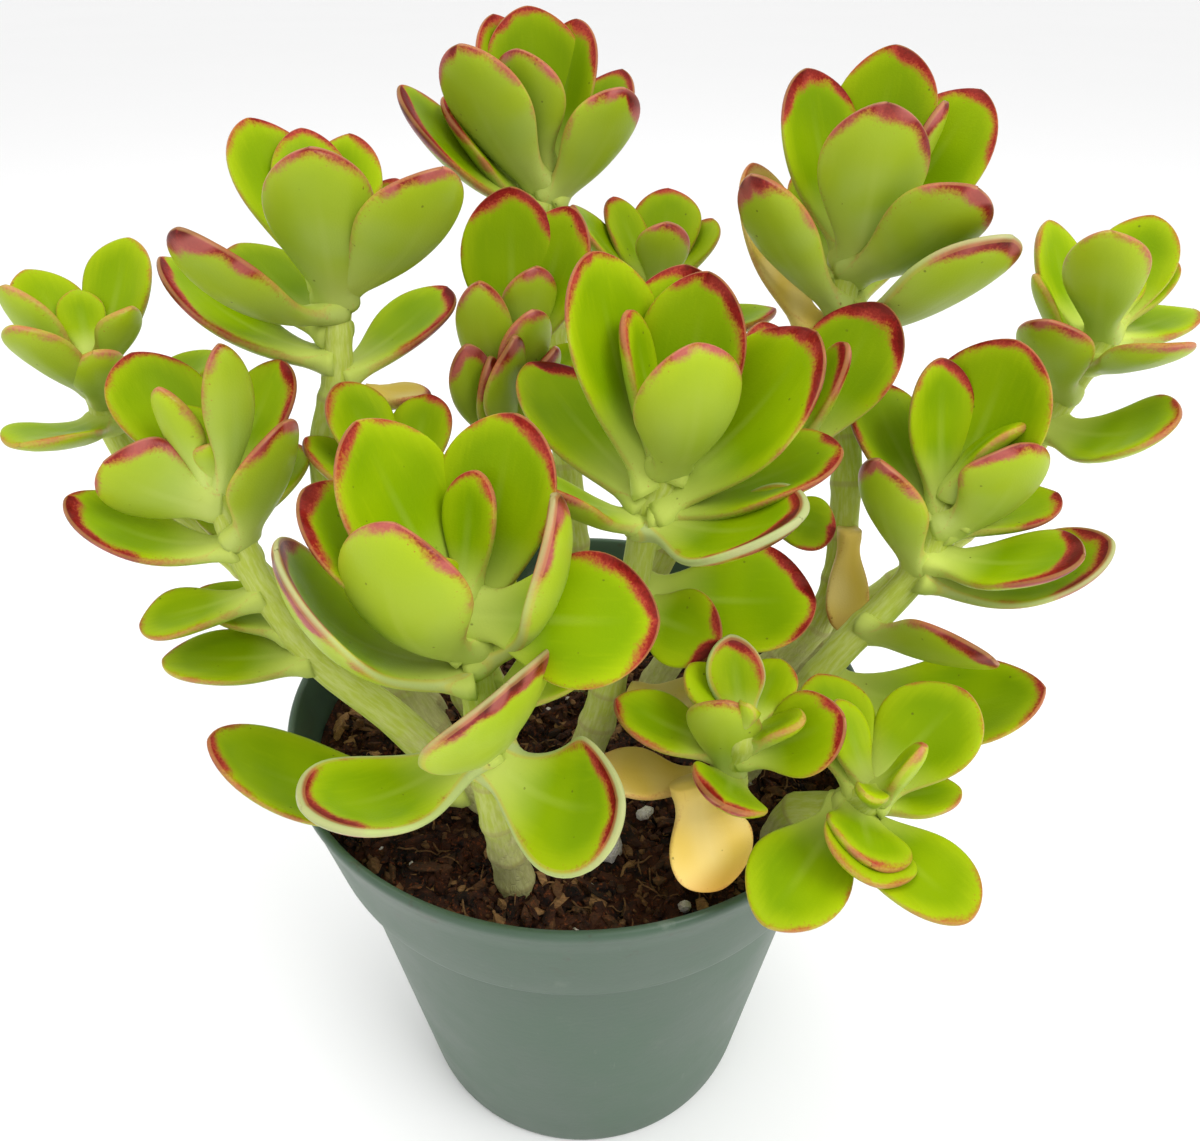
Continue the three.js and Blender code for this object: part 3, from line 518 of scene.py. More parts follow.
def leafPart(root, leaf, draw, mood, flush, aged=0.0):
    heading, lift, length, bend = leaf[1:5]
    share = leaf[5] if len(leaf) > 5 else 0.56
    roll = leaf[6] if len(leaf) > 6 else 0
    curl = rad(bend)
    start = rad(lift) - curl / 2
    halfWidth = length * share / 2
    s = leafStations
    variety = leafForm["variety"]
    widest = leafForm["widest"] + draw.uniform(-variety, variety)
    skew = draw.uniform(-variety, variety)
    widthRight = halfWidth * spoonWidth(s, widest + skew)
    widthLeft = halfWidth * spoonWidth(s, widest - skew)
    sides = leafForm["sides"]
    around = 2 * np.pi * np.arange(sides) / sides
    power = 2 / leafForm["margin"]
    cosShare = np.sign(np.cos(around)) * np.abs(np.cos(around)) ** power
    sinShare = np.sign(np.sin(around)) * np.abs(np.sin(around)) ** power
    s2, c2 = np.meshgrid(s, cosShare, indexing="ij")
    wide = np.where(c2 > 0, widthRight[:, None], widthLeft[:, None])
    across = wide * c2
    far = (1 - s2) * length
    cap = swell(1 - np.clip(far / max(halfWidth * 0.9, 3.0), 0, 1))
    thick = leafForm["halfThickness"] * (1 - leafForm["thinning"] * s2) * cap * min(1, 0.55 + halfWidth / 9)
    faceShare = np.where(sinShare > 0, leafForm["innerShare"], leafForm["outerShare"])
    through = thick * (sinShare * faceShare)[None, :]
    flare = 1 + leafForm["flare"] * np.clip(1 - (s2 * length - 1.5) / leafForm["flareReach"], 0, 1) ** 2
    across, through = across * flare, through * flare
    phase, speed = draw.uniform(0, 6.28), draw.uniform(4.5, 8.5)
    waver = leafForm["waver"] * np.sin(speed * s2 + phase) * np.abs(c2) * c2 * np.clip(s2 * 2, 0, 1)
    lens = through + leafForm["channel"] * across ** 2 / halfWidth * np.clip(s2 * 4, 0, 1) + waver
    slope = start + curl * s
    reach = length * (np.sin(slope) - math.sin(start)) / curl
    rise = length * (math.cos(start) - np.cos(slope)) / curl
    outward = np.array([math.cos(rad(heading)), math.sin(rad(heading)), 0.0])
    up = np.array([0.0, 0.0, 1.0])
    along = np.cos(slope)[:, None] * outward + np.sin(slope)[:, None] * up
    unrolled = -np.sin(slope)[:, None] * outward + np.cos(slope)[:, None] * up
    turn = rad(roll) + rad(draw.uniform(-1, 1) * leafForm["twist"]) * (s - 0.2)
    inner = np.cos(turn)[:, None] * unrolled + np.sin(turn)[:, None] * np.cross(along, unrolled)
    side = np.cross(along, inner)
    spine = np.array(root)[None] + reach[:, None] * outward + rise[:, None] * up
    verts = spine[:, None, :] + across[..., None] * side[:, None, :] + lens[..., None] * inner[:, None, :]

    # red band: how far inside its inner line each point lies, in mm
    dense = np.linspace(0.02, 1, 110)
    right = np.stack([halfWidth * spoonWidth(dense, widest + skew), dense * length], 1)
    left = np.stack([-halfWidth * spoonWidth(dense, widest - skew), dense * length], 1)
    flat = np.stack([across, s2 * length], 2).reshape(-1, 2)
    edge, out = edgeDistance(flat, np.concatenate([right, left[::-1]]))
    facing = out[:, :1] * np.repeat(side, sides, 0) + out[:, 1:] * np.repeat(along, sides, 0)
    sun = facing @ np.array(sunSide)
    amount, bias, pale = (*flush, 0)[:3]
    edge = edge - pale
    amount = amount * mood[0] * draw.uniform(1 - blush["spread"], 1 + blush["spread"])
    bias += draw.uniform(-0.35, 0.35)
    exposure = np.clip((sun + 0.1 + bias * np.sign(out[:, 0])) / 1.1, 0, 1.4)
    share = s2.reshape(-1)
    tip = np.clip((share - 0.7) / 0.3, 0, 1)
    patch = softNoise(flat[:, 0] * 1.5, flat[:, 1], 9, draw) - 0.5
    width = amount * (blush["sun"] * exposure + blush["tip"] * tip + blush["patch"] * patch) - blush["less"]
    fade = np.clip((share - blush["from"]) / blush["ramp"], 0, 1)
    band = width * fade - 0.5 * (1 - fade) - np.abs(edge) * (0.75 if length > 14 else 1.0)
    seed = draw.uniform(-200, 200)
    face = np.tile(sinShare, (len(s), 1)).reshape(-1)
    spot = np.stack([flat[:, 0], flat[:, 1], seed + face * 1.2], 1)
    tone = mood[1] * draw.uniform(0.94, 1.06)
    tint = np.tile([tone, aged, draw.uniform(0.6, 1.1)], (len(flat), 1))
    shift = face * 2
    soft = np.stack([softNoise(flat[:, 0] + shift, flat[:, 1], size, draw) for size in (13, 9, 5)], 1)
    return {"verts": verts.reshape(-1, 3), "rings": len(s), "sides": sides, "edge": edge, "band": band,
            "face": face, "along": share, "spot": spot, "tint": tint, "soft": soft,
            "material": 0}


# stem form, in mm
stemForm = {"radius": 3.3, "bury": 14, "sides": 20, "stepMm": 0.8, "node": 0.32, "scarEvery": 8.5}


def spline(points):
    # the same centripetal curve through the points as the frame's
    rows = [np.array(p, float) for p in points]
    rows = [2 * rows[0] - rows[1]] + rows + [2 * rows[-1] - rows[-2]]
    out = []
    for i in range(1, len(rows) - 2):
        p0, p1, p2, p3 = rows[i - 1:i + 3]
        d0, d1, d2 = (max(((b - a) @ (b - a)) ** 0.25, 1e-4) for a, b in ((p0, p1), (p1, p2), (p2, p3)))
        t1 = ((p1 - p0) / d0 - (p2 - p0) / (d0 + d1) + (p2 - p1) / d1) * d1
        t2 = ((p2 - p1) / d1 - (p3 - p1) / (d1 + d2) + (p3 - p2) / d2) * d1
        w = np.linspace(0, 1, 60)[:, None]
        part = p1 + t1 * w + (-3 * p1 + 3 * p2 - 2 * t1 - t2) * w ** 2 + (2 * p1 - 2 * p2 + t1 + t2) * w ** 3
        out.append(part if i == 1 else part[1:])
    path = np.concatenate(out)
    lengths = np.concatenate([[0], np.cumsum(np.sqrt(((path[1:] - path[:-1]) ** 2).sum(1)))])
    return path, lengths


def pointAt(curve, share):
    path, lengths = curve
    where = np.clip(np.asarray(share, float), 0, 1) * lengths[-1]
    return np.stack([np.interp(where, lengths, path[:, k]) for k in range(3)], -1)


def stemPart(curve, nodes, draw, mood):
    total = curve[1][-1]
    rings = max(12, round(total / stemForm["stepMm"]))
    share = np.linspace(0, 1, rings + 1)
    spine = pointAt(curve, share)
    along = pointAt(curve, share + 0.004) - pointAt(curve, share - 0.004)
    along /= np.linalg.norm(along, axis=1)[:, None]
    side = np.array([1.0, 0, 0]) - along * along[:, :1]
    side /= np.linalg.norm(side, axis=1)[:, None]
    other = np.cross(side, along)
    radius = stemForm["radius"] * (1 - share / 3)
    place = share * total
    marks = list(nodes)
    low = min(nodes) if nodes else total
    at = stemForm["bury"] + 2
    while at < low - 3:
        marks.append(at)
        at += stemForm["scarEvery"] * draw.uniform(0.8, 1.2)
    scar = np.full(rings + 1, 9.0)
    for mark in marks:
        away = np.abs(place - mark)
        radius = radius + stemForm["node"] * np.exp(-(away / 1.3) ** 2) * (1 if mark < low - 3 else 0.7)
        if mark < low - 3:
            scar = np.minimum(scar, away)
    radius[-3:] *= np.array([0.9, 0.6, 0.0])
    sides = stemForm["sides"]
    around = 2 * np.pi * np.arange(sides) / sides
    seed = draw.uniform(-200, 200)
    wobble = 1 + 0.05 * np.sin(2 * around[None, :] + place[:, None] * 0.12 + seed)
    wobble += 0.03 * np.sin(3 * around[None, :] - place[:, None] * 0.3 + seed)
    cosR = radius[:, None] * wobble * np.cos(around)
    sinR = radius[:, None] * wobble * np.sin(around)
    verts = spine[:, None, :] + cosR[..., None] * side[:, None, :] + sinR[..., None] * other[:, None, :]
    count = (rings + 1) * sides
    up = np.clip((place - stemForm["bury"]) / max(total - stemForm["bury"], 1), 0, 1)
    spot = np.stack([3 * np.tile(np.cos(around), (rings + 1, 1)), np.tile(place[:, None], (1, sides)),
                     3 * np.tile(np.sin(around), (rings + 1, 1)) + seed], 2).reshape(-1, 3)
    return {"verts": verts.reshape(-1, 3), "rings": rings + 1, "sides": sides,
            "edge": np.repeat(scar, sides), "band": np.full(count, -9.0), "face": np.zeros(count),
            "along": np.repeat(up, sides), "spot": spot, "tint": np.tile([mood[1], 0, 0], (count, 1)),
            "soft": np.zeros((count, 3)), "material": 1}


def meshFrom(name, parts, materials):
    verts, faces, kinds = [], [], []
    offset = 0
    for part in parts:
        rings, sides = part["rings"], part["sides"]
        index = offset + np.arange(rings * sides).reshape(rings, sides)
        a, b = index[:-1], index[1:]
        quads = np.stack([a, np.roll(a, -1, 1), np.roll(b, -1, 1), b], 2).reshape(-1, 4)
        faces.extend(quads.tolist())
        faces.append(index[0][::-1].tolist())
        faces.append(index[-1].tolist())
        kinds.extend([part["material"]] * (len(quads) + 2))
        verts.append(part["verts"])
        offset += rings * sides
    mesh = bpy.data.meshes.new(name)
    mesh.from_pydata((np.concatenate(verts) * mm).tolist(), [], faces)
    for label, key, kind in (("leafEdge", "edge", "FLOAT"), ("leafBand", "band", "FLOAT"),
                             ("leafFace", "face", "FLOAT"), ("leafAlong", "along", "FLOAT"),
                             ("leafSpot", "spot", "FLOAT_VECTOR"), ("leafTint", "tint", "FLOAT_VECTOR"),
                             ("leafSoft", "soft", "FLOAT_VECTOR")):
        values = np.concatenate([part[key] for part in parts]).astype(np.float32)
        made = mesh.attributes.new(label, kind, "POINT")
        made.data.foreach_set("vector" if kind == "FLOAT_VECTOR" else "value", values.reshape(-1))
    for material in materials:
        mesh.materials.append(material)
    mesh.polygons.foreach_set("material_index", kinds)
    return addPiece(name, mesh)


def weldEnds(piece):
    # the first and last ring of a part close to a point
    work = bmesh.new()
    work.from_mesh(piece.data)
    bmesh.ops.remove_doubles(work, verts=work.verts, dist=0.000002)
    bmesh.ops.dissolve_degenerate(work, edges=work.edges, dist=0.0000005)
    bmesh.ops.recalc_face_normals(work, faces=work.faces)
    work.to_mesh(piece.data)
    work.free()


def settle(piece, nodeName):
    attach(piece, "root")
    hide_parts(nodeName)


def pieceName(nodeName):
    # shoot_back_left becomes shootBackLeft
    first, *rest = nodeName.split("_")
    return first + "".join(word.title() for word in rest)


leafMaterial = leafSkin()
stemMaterial = stemSkin()

# leaves that blush more or less than their place says, by their row in the plant layout:
# strength, lean to the right margin, and mm of pale edge outside the red
leafFlush = {
    "shoot_middle": {3: (1.7, 0), 5: (1.6, 0), 6: (1.6, 0), 7: (1.6, 0), 2: (1.1, 0.4), 10: (1.4, 0.4)},
    "shoot_right_small": {1: (1.6, 0.1), 2: (1.0, 0.3), 5: (1.3, 0.6)},
    "shoot_back_right": {7: (1.7, 0.5), 8: (1.5, 0.2, 0.5), 4: (1.3, -0.4)},
    "shoot_back_left": {7: (1.9, 0), 9: (1.6, -0.4), 10: (1.7, 0.2)},
    "shoot_centre": {8: (1.5, 0.5), 6: (1.3, 0.3), 10: (1.9, 0), 9: (1.8, 0, 0.9), 11: (1.7, 0.2),
        1: (0.6, 0), 5: (1.4, 0), 2: (0.8, 0), 0: (0.3, 0), 3: (1.2, 0.3), 4: (0.8, -0.2)},
    "shoot_front": {0: (0.1, 0), 1: (0.2, 0), 6: (1.8, -0.2, 0.4), 8: (1.6, 0.2), 9: (1.7, -0.1, 0.5),
        7: (1.5, -0.3), 10: (1.7, 0, 0.4), 11: (1.5, 0.1, 0.9), 12: (1.5, 0, 0.9), 2: (0.8, -0.2),
        3: (0.75, 0), 4: (0.75, -0.1), 5: (0.8, 0.1)},
    "shoot_left": {0: (0.1, 0), 1: (0.1, 0), 2: (0.4, 0), 3: (0.8, 0), 5: (1.3, 0.3), 7: (1.3, -0.3),
        8: (1.5, -0.4)},
    "shoot_right": {1: (0.4, 0), 5: (1.5, -0.3), 7: (1.5, 0.4), 8: (1.7, 0), 9: (1.5, 0, 0.5),
        10: (1.5, 0), 11: (0.8, 0), 3: (0.8, 0.2), 2: (1.1, 0.3)},
    "shoot_back": {8: (1.6, -0.4), 6: (1.5, -0.4), 5: (0.9, 0.3), 1: (0.7, 0), 4: (0.8, 0)},
    "shoot_far_right": {8: (1.8, 0.5), 9: (1.2, 0.2)},
    "shoot_front_low": {0: (0.1, 0), 1: (0.4, 0), 4: (1.8, 0, 0.6), 7: (1.4, 0.2), 9: (1.6, 0),
        3: (0.6, 0.3), 2: (0.3, 0), 8: (1.2, 0), 6: (0.8, 0.3)},
    "shoot_front_right": {0: (0.1, 0), 3: (1.2, 0), 7: (1.2, 0)},
}
plainFlush = (1, 0)

for number, (name, shoot) in enumerate(shoots.items()):
    draw = random.Random(100 + number)
    x, y, z = shoot["stem"][0]
    curve = spline([[x, y, z - stemForm["bury"]], *shoot["stem"]])
    total = curve[1][-1]
    mood = shootMood[name]
    parts = [stemPart(curve, [total - leaf[0] for leaf in shoot["leaves"]], draw, mood)]
    for index, leaf in enumerate(shoot["leaves"]):
        root = pointAt(curve, 1 - leaf[0] / total)
        parts.append(leafPart(root, leaf, draw, mood, leafFlush.get(name, {}).get(index, plainFlush)))
    piece = meshFrom(pieceName(name), parts, [leafMaterial, stemMaterial])
    weldEnds(piece)
    settle(piece, name)
print("shoots made")

# yellowed leaves: redness, brightness, yellowness
oldMood = {
    "old_leaf_back": (0.5, 0.95, 0.9), "old_leaf_left": (1.2, 0.95, 0.9), "old_leaf_right": (0.8, 1.0, 0.95),
    "old_leaf_front": (0.1, 1.1, 1.0), "old_leaf_under": (0.0, 1.0, 1.0), "old_leaf_centre": (0.1, 0.95, 0.8),
}
for number, (name, old) in enumerate(oldLeaves.items()):
    draw = random.Random(300 + number)
    red, tone, aged = oldMood[name]
    part = leafPart(old["root"], old["leaf"], draw, (red, tone), plainFlush, aged)
    piece = meshFrom(pieceName(name), [part], [leafMaterial])
    weldEnds(piece)
    settle(piece, name)
print("old leaves made")

# pot, in mm
potForm = {
    "height": 96, "rim": 54, "band": 21.5, "bandFoot": 50, "bodyTop": 47.6, "base": 37.6, "wall": 1.4,
    "segments": 160, "holes": 6, "holeRadius": 4, "holeCircle": 25,
    "color": (0.052, 0.094, 0.059), "dust": (0.30, 0.33, 0.28), "soil": (0.05, 0.035, 0.02),
    "roughness": 0.42, "specular": 0.38, "bump": 0.5, "depth": 0.0004,
}


def latheMesh(name, profile, segments):
    work = bmesh.new()
    verts = [work.verts.new((r * mm, 0, z * mm)) for r, z in profile]
    edges = [work.edges.new((a, b)) for a, b in zip(verts, verts[1:])]
    bmesh.ops.spin(work, geom=verts + edges, cent=(0, 0, 0), axis=(0, 0, 1), angle=2 * math.pi,
                   steps=segments)
    bmesh.ops.remove_doubles(work, verts=work.verts, dist=0.00002)
    bmesh.ops.recalc_face_normals(work, faces=work.faces)
    mesh = bpy.data.meshes.new(name)
    work.to_mesh(mesh)
    work.free()
    return addPiece(name, mesh)


def densely(profile, gap):
    out = [profile[0]]
    for (r0, z0), (r1, z1) in zip(profile, profile[1:]):
        count = max(1, round(math.hypot(r1 - r0, z1 - z0) / gap))
        out += [(r0 + (r1 - r0) * k / count, z0 + (z1 - z0) * k / count) for k in range(1, count + 1)]
    return out


def applyModifiers(piece):
    bpy.context.view_layer.update()
    done = bpy.data.meshes.new_from_object(piece.evaluated_get(bpy.context.evaluated_depsgraph_get()))
    piece.modifiers.clear()
    piece.data = done


def plasticGroup():
    # moulded satin plastic: faint flow marks, scuffs and dried water marks
    tree, start, end = newGroup("Pot plastic", {"Place": "Vector"}, surface)
    place = start["Place"]
    grain = noiseAt(tree, place, 900, 3.0, 0.6)
    cloud = noiseAt(tree, place, 35, 4.0, 0.6)
    flow = noiseAt(tree, stretch(tree, place, 60, 60, 700), 1.0, 2.0, 0.5)
    scuff = noiseAt(tree, stretch(tree, place, 500, 500, 60), 1.0, 4.0, 0.7)
    deep, pale = ([c * share for c in potForm["color"]] for share in (0.92, 1.12))
    tone = blendColor(tree, step(tree, cloud, 0.35, 0.7), deep, pale)
    tone = blendColor(tree, step(tree, scuff, 0.66, 0.8, 0.0, 0.22), tone, potForm["dust"])
    marks = step(tree, noiseAt(tree, place, 120, 5.0, 0.7), 0.6, 0.74, 0.0, 0.2)
    tone = blendColor(tree, marks, tone, potForm["dust"])
    high = step(tree, axes(tree, place)[2], 0.078, 0.094)
    soiled = times(tree, high, step(tree, noiseAt(tree, place, 260, 4.0, 0.7), 0.58, 0.7))
    tone = blendColor(tree, times(tree, soiled, 0.45), tone, potForm["soil"])
    rough = step(tree, cloud, 0.3, 0.75, potForm["roughness"] - 0.05, potForm["roughness"] + 0.08)
    rough = plusTimes(tree, rough, marks, 0.6)
    height = plusTimes(tree, times(tree, flow, 0.06), grain, 0.12)
    return feed(tree, end, {"Color": tone, "Roughness": rough, "Height": height})


def potPiece():
    f = potForm
    keys = ("height", "rim", "bandFoot", "bodyTop", "base", "wall")
    top, rim, band, body, base, w = (f[key] for key in keys)
    foot = top - f["band"]
    outer = [
        (0, 0), (12, 0), (base - 1.8, 0), (base - 0.7, 0.25), (base - 0.15, 1.0), (base + 0.05, 2.0),
        (body - 0.2, foot - 1.2), (body, foot - 0.4), (body + 0.5, foot - 0.05), (band - 0.6, foot),
        (band - 0.1, foot + 0.35), (band + 0.08, foot + 1), (rim - 0.55, top - 2.6), (rim - 0.12, top - 1.9),
        (rim, top - 1.1), (rim - 0.02, top - 0.5), (rim - 0.3, top - 0.08), (rim - 0.7, top),
        (rim - w + 0.2, top - 0.08), (rim - w, top - 0.5),
    ]
    inner = [
        (rim - w - 0.3, top - 1.4), (band - w, foot + 1.6), (body - w, foot - 0.5), (base - w + 0.2, 3),
        (base - w - 0.9, w + 0.3), (0, w + 0.2),
    ]
    piece = latheMesh("pot", densely(outer + inner, 4.0), f["segments"])
    drills = []
    for i in range(f["holes"]):
        turn = 2 * math.pi * (i + 0.5) / f["holes"]
        bpy.ops.mesh.primitive_cylinder_add(vertices=48, radius=f["holeRadius"] * mm, depth=0.01)
        drill = bpy.context.object
        drill.location = (f["holeCircle"] * mm * math.cos(turn), f["holeCircle"] * mm * math.sin(turn), 0)
        drills.append(drill)
        cut = piece.modifiers.new("hole", "BOOLEAN")
        cut.operation, cut.object, cut.solver = "DIFFERENCE", drill, "EXACT"
    applyModifiers(piece)
    for drill in drills:
        bpy.data.objects.remove(drill)
    return piece


pot = potPiece()
pot.data.materials.clear()
pot.data.materials.append(placedMaterial("potPlastic", plasticGroup(), potForm))
settle(pot, "pot")
print("pot made")

# potting mix, in mm
mixForm = {
    "top": 86, "edge": 50.0, "rings": 96, "segments": 230, "rough": 1.6, "crumbs": 5200, "barks": 420,
    "fibres": 320, "grains": 34, "reach": 48.6,
    "dark": (0.005, 0.002, 0.001), "brown": (0.045, 0.014, 0.005), "red": (0.16, 0.042, 0.012),
    "tan": (0.42, 0.23, 0.09), "perlite": (0.72, 0.68, 0.62),
    "stain": (0.42, 0.3, 0.2), "pit": (0.45, 0.38, 0.32), "specular": 0.25, "bump": 0.8, "depth": 0.0006,
    "sinkFrom": 47, "sink": 0.8,
}
# large perlite grains and tan chips that are seen in front: x, y, size in mm
seenGrains = [
    (5.5, -30.6, 3.0), (11.1, -17.6, 2.0), (13.4, -6.2, 1.7), (11.8, -22.7, 1.6), (17.4, -41.9, 1.3),
    (16.7, -33.9, 1.1), (20.5, -30.5, 1.0), (2.5, -38, 0.8),
]
seenChips = [(-47, -0.7, 2.6), (-43.5, -4, 1.9), (-44.5, 3.5, 1.7), (-39, -8, 1.2)]


def mixHeight(x, y):
    fade = 1 - min(1, math.hypot(x, y) / 50) ** 6
    wave = 0.8 * math.sin(0.31 * x + 1.2) * math.cos(0.27 * y) + 0.5 * math.sin(0.55 * x - 0.6 * y)
    return mixForm["top"] + fade * wave


def mixRelief(x, y):
    lump = noise.noise(Vector((x * 0.35, y * 0.35, 3.1))) + 0.6 * noise.noise(Vector((x * 0.9, y * 0.9, 7.7)))
    return mixHeight(x, y) + mixForm["rough"] * lump


def mixBed():
    f = mixForm
    foot = potForm["height"] - potForm["band"]
    side = potForm["wall"] + 0.6
    base = potForm["base"] - side
    lower = [(0, 2.0), (base - 1.2, 2.0), (base + 0.1, 3.4), (potForm["bodyTop"] - side, foot - 0.3)]
    lower += [(potForm["bandFoot"] - side - 0.1, foot + 1.5), (f["edge"] + 0.4, f["top"] - 0.6)]
    top = [(f["edge"] * (1 - k / f["rings"]), f["top"]) for k in range(f["rings"] + 1)]
    piece = latheMesh("mixBed", densely(lower, 6.0) + top, f["segments"])
    for vert in piece.data.vertices:
        if vert.co.z > (f["top"] - 0.01) * mm:
            x, y = vert.co.x / mm, vert.co.y / mm
            drop = f["sink"] * max(0, (math.hypot(x, y) - f["sinkFrom"]) / (f["edge"] - f["sinkFrom"]))
            vert.co.z = (mixRelief(x, y) - drop) * mm
    return piece


def mixGroup():
    # crumbly bark: dark, brown and reddish grains
    tree, start, end = newGroup("Bark mix", {"Place": "Vector", "Tone": "Float"}, surface)
    place = start["Place"]
    grain = noiseAt(tree, place, 1500, 3.0, 0.7)
    clump = noiseAt(tree, place, 260, 2.0, 0.65)
    fibre = noiseAt(tree, stretch(tree, place, 500, 2600, 900), 1.0, 2.0, 0.7)
    base = blendColor(tree, step(tree, clump, 0.36, 0.62), mixForm["dark"], mixForm["brown"])
    base = blendColor(tree, step(tree, grain, 0.52, 0.72), base, mixForm["red"])
    tanned = times(tree, start["Tone"], step(tree, fibre, 0.3, 0.7, 0.5, 1.0))
    base = blendColor(tree, tanned, base, mixForm["tan"])
    rough = step(tree, grain, 0.3, 0.7, 0.75, 0.95)
    height = plusTimes(tree, times(tree, fibre, 0.4), grain, 0.6)
    return feed(tree, end, {"Color": base, "Roughness": rough, "Height": height})


def perliteGroup():
    # expanded white rock: pitted, dusty, stained by the mix
    tree, start, end = newGroup("Perlite", {"Place": "Vector"}, surface)
    pits = cellsAt(tree, start["Place"], 2600)
    stain = noiseAt(tree, start["Place"], 420, 4.0, 0.6)
    base = blendColor(tree, step(tree, stain, 0.45, 0.72, 0.0, 0.6), mixForm["perlite"], mixForm["stain"])
    base = blendColor(tree, step(tree, pits, 0.25, 0.1, 0.0, 0.35), base, mixForm["pit"])
    height = plusTimes(tree, times(tree, stain, 0.5), pits, 0.8)
    rough = step(tree, stain, 0.2, 0.8, 0.7, 0.95)
    return feed(tree, end, {"Color": base, "Roughness": rough, "Height": height})


def lumpVerts(level):
    work = bmesh.new()
    bmesh.ops.create_icosphere(work, subdivisions=level, radius=1)
    verts = np.array([v.co[:] for v in work.verts])
    faces = [[v.index for v in face.verts] for face in work.faces]
    work.free()
    return verts, faces


def rotation(axis, angle):
    return np.array(Matrix.Rotation(angle, 3, axis))


def turned(draw):
    # a random rotation
    a, b, c = (draw.uniform(-math.pi, math.pi) for _ in range(3))
    return rotation("Z", a) @ rotation("Y", b) @ rotation("X", c)


def onMix(draw):
    while True:
        x, y = draw.uniform(-1, 1), draw.uniform(-1, 1)
        if x * x + y * y < 1:
            return x * mixForm["reach"], y * mixForm["reach"]


def loosePiece(name, verts, faces, tones, material, smooth):
    mesh = bpy.data.meshes.new(name)
    mesh.from_pydata(verts, [], faces)
    mesh.attributes.new("pieceTone", "FLOAT", "POINT").data.foreach_set("value", np.array(tones, np.float32))
    mesh.materials.append(material)
    piece = addPiece(name, mesh, smooth)
    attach(piece, "root")


def heap(name, items, level, material, smooth):
    # items: (x, y, lift, size, stretch, tone, jitter) laid on the mix
    ball, faces = lumpVerts(level)
    verts, allFaces, tones = [], [], []
    draw = random.Random(name)
    dice = np.random.default_rng(len(items))
    for x, y, lift, size, shape, tone, jitter in items:
        rough = ball * (1 + jitter * dice.uniform(-1, 1, (len(ball), 1)))
        body = (rough * np.array(shape)) * size
        tilt = turned(draw)
        if shape[2] < 0.6:
            lean, spin = draw.uniform(-0.9, 0.9), draw.uniform(0, 6.28)
            tilt = rotation("Z", spin) @ rotation("X", lean)
        body = body @ tilt.T + np.array([x, y, mixRelief(x, y) + lift])
        offset = len(verts) * len(ball)
        verts.append(body)
        allFaces += [[k + offset for k in face] for face in faces]
        tones += [tone] * len(ball)
    loosePiece(name, (np.concatenate(verts) * mm).tolist(), allFaces, tones, material, smooth)


def fibreHeap(material):
    draw = random.Random(77)
    verts, faces = [], []
    for _ in range(mixForm["fibres"]):
        x, y = onMix(draw)
        x, y = x * 0.93, y * 0.93
        turn, bendRate, size = draw.uniform(0, 6.28), draw.uniform(-0.18, 0.18), draw.uniform(0.09, 0.2)
        steps, gap = draw.randint(6, 12), draw.uniform(0.5, 0.9)
        for k in range(steps):
            lift = 0.35 + 0.9 * math.sin(math.pi * k / (steps - 1))
            centre = Vector((x, y, mixRelief(x, y) + lift * 0.7))
            ahead = Vector((math.cos(turn), math.sin(turn), 0))
            across = Vector((-ahead.y, ahead.x, 0))
            thin = size * (0.4 if k in (0, steps - 1) else 1)
            for j in range(5):
                angle = 2 * math.pi * j / 5
                rise = Vector((0, 0, thin * math.sin(angle)))
                verts.append(centre + across * thin * math.cos(angle) + rise)
            if k:
                low = len(verts) - 10
                faces += [[low + j, low + (j + 1) % 5, low + 5 + (j + 1) % 5, low + 5 + j] for j in range(5)]
            x, y, turn = x + ahead.x * gap, y + ahead.y * gap, turn + bendRate * gap * 2
            if math.hypot(x, y) > mixForm["reach"]:
                turn += 2.5
        low = len(verts)
        faces += [[low - 5 * steps + j for j in range(5)][::-1], [low - 5 + j for j in range(5)]]
    loosePiece("coirFibres", [v * mm for v in verts], faces, [0.45] * len(verts), material, True)


mixMaterial = placedMaterial("barkMix", mixGroup(), mixForm, True)
perliteMaterial = placedMaterial("perliteRock", perliteGroup(), {**mixForm, "depth": 0.0005})
bed = mixBed()
bed.data.materials.append(mixMaterial)
settle(bed, "soil")

draw = random.Random(5)
crumbs = []
for _ in range(mixForm["crumbs"]):
    x, y = onMix(draw)
    size = 0.35 + 1.15 * draw.random() ** 2.2
    shape = (draw.uniform(1, 1.5), draw.uniform(0.45, 0.9), draw.uniform(0.35, 0.9))
    crumbs.append((x, y, size * draw.uniform(-0.3, 0.8), size, shape, 0.8 * draw.random() ** 7, 0.38))
heap("barkCrumbs", crumbs, 1, mixMaterial, False)
barks = []
for _ in range(mixForm["barks"]):
    x, y = onMix(draw)
    x, y = x * 0.93, y * 0.93
    size = draw.uniform(0.8, 1.9)
    shape = (draw.uniform(1.1, 2.2), draw.uniform(0.4, 0.8), draw.uniform(0.2, 0.42))
    barks.append((x, y, draw.uniform(-0.1, 0.9), size, shape, 0.8 * draw.random() ** 8, 0.3))
for x, y, size in seenChips:
    barks.append((x, y, 0.7, size, (1.3, 0.8, 0.4), 0.95, 0.2))
heap("barkChips", barks, 2, mixMaterial, False)
grains = []
for _ in range(mixForm["grains"]):
    x, y = onMix(draw)
    grains.append((x * 0.95, y * 0.95, 0.2, draw.uniform(0.4, 1.1), (1, 0.85, 0.75), 0, 0.16))
for x, y, size in seenGrains:
    grains.append((x, y, size * 0.45, size, (1, 0.85, 0.75), 0, 0.13))
heap("perlite", grains, 2, perliteMaterial, True)
fibreHeap(mixMaterial)
print("mix made")

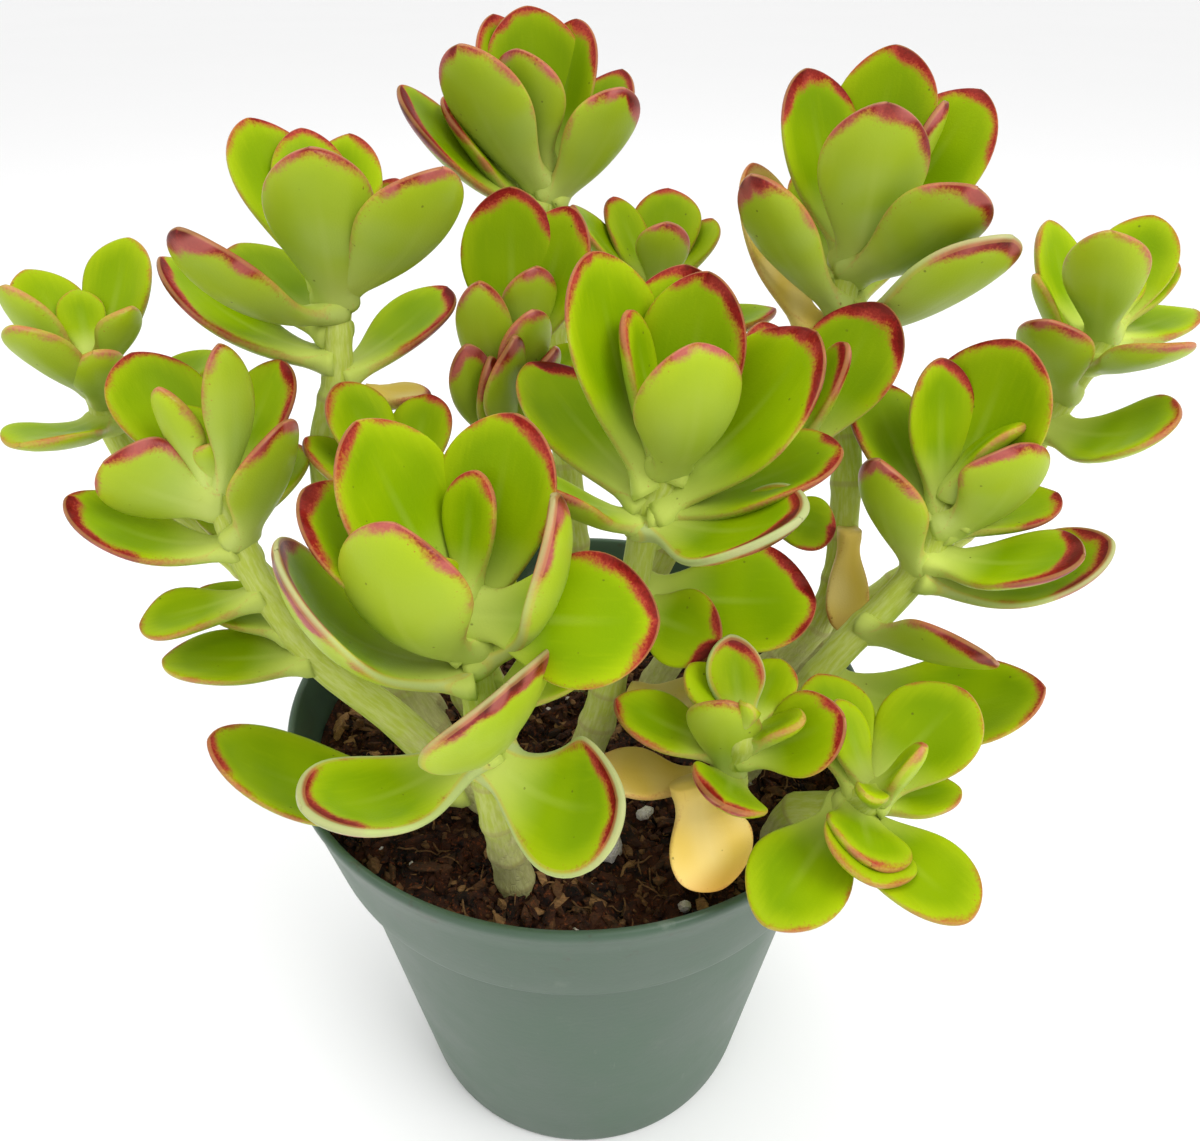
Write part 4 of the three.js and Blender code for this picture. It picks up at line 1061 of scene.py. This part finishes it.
# studio: place, size and power of each light
studio = {
    "floor": (0.92, 0.92, 0.92), "floorSpecular": 0.2, "world": 1.0,
    "bounces": 4, "diffuseBounces": 3, "glossyBounces": 2,
    "aim": (0.0, 0.0, 0.12), "lights": {
        "keyLight": ((0.45, -0.35, 0.75), 0.5, 3.6), "topLight": ((-0.15, 0.15, 0.9), 0.6, 2.2),
        "fillLight": ((-0.7, -0.6, 0.35), 0.7, 0.5),
    },
    "lens": 28.5, "cameraPlace": (0.00385, -0.1373, 0.2163), "cameraTilt": 55.81,
}


def areaLight(name, place, size, power):
    lamp = bpy.data.lights.new(name, "AREA")
    lamp.shape, lamp.size, lamp.energy = "DISK", size, power
    holder = addObject(name, lamp)
    holder.location = place
    holder.rotation_euler = (Vector(studio["aim"]) - Vector(place)).to_track_quat("-Z", "Y").to_euler()


def studioSet():
    bpy.ops.mesh.primitive_plane_add(size=12)
    floor = bpy.context.object
    floor.name = "floor"
    material, tree, shader = newMaterial("paleFloor", studio["floorSpecular"])
    place = node(tree, "ShaderNodeTexCoord").outputs["Object"]
    cloud = noiseAt(tree, place, 3.0, 2.0)
    tone = blendColor(tree, cloud, studio["floor"], [c * 0.985 for c in studio["floor"]])
    feed(tree, shader, {"Base Color": tone, "Roughness": step(tree, cloud, 0.3, 0.7, 0.7, 0.8)})
    floor.data.materials.append(material)
    world = bpy.data.worlds.new("studio")
    world.use_nodes = True
    sky = world.node_tree.nodes["Background"]
    sky.inputs["Color"].default_value = (1, 1, 1, 1)
    sky.inputs["Strength"].default_value = studio["world"]
    bpy.context.scene.world = world
    for name, values in studio["lights"].items():
        areaLight(name, *values)


def cameraSet():
    lens = bpy.data.cameras.new("camera")
    lens.lens, lens.sensor_width, lens.sensor_fit = studio["lens"], 36, "AUTO"
    lens.clip_start, lens.clip_end = 0.01, 50
    holder = addObject("camera", lens)
    holder.location = studio["cameraPlace"]
    holder.rotation_euler = (rad(studio["cameraTilt"]), 0, 0)
    bpy.context.scene.camera = holder


studioSet()
cameraSet()
scene = bpy.context.scene
scene.view_settings.view_transform = "Standard"
scene.view_settings.look = "None"
scene.view_settings.exposure = 0.0
scene.cycles.max_bounces = studio["bounces"]
scene.cycles.diffuse_bounces = studio["diffuseBounces"]
scene.cycles.glossy_bounces = studio["glossyBounces"]
print("studio made")
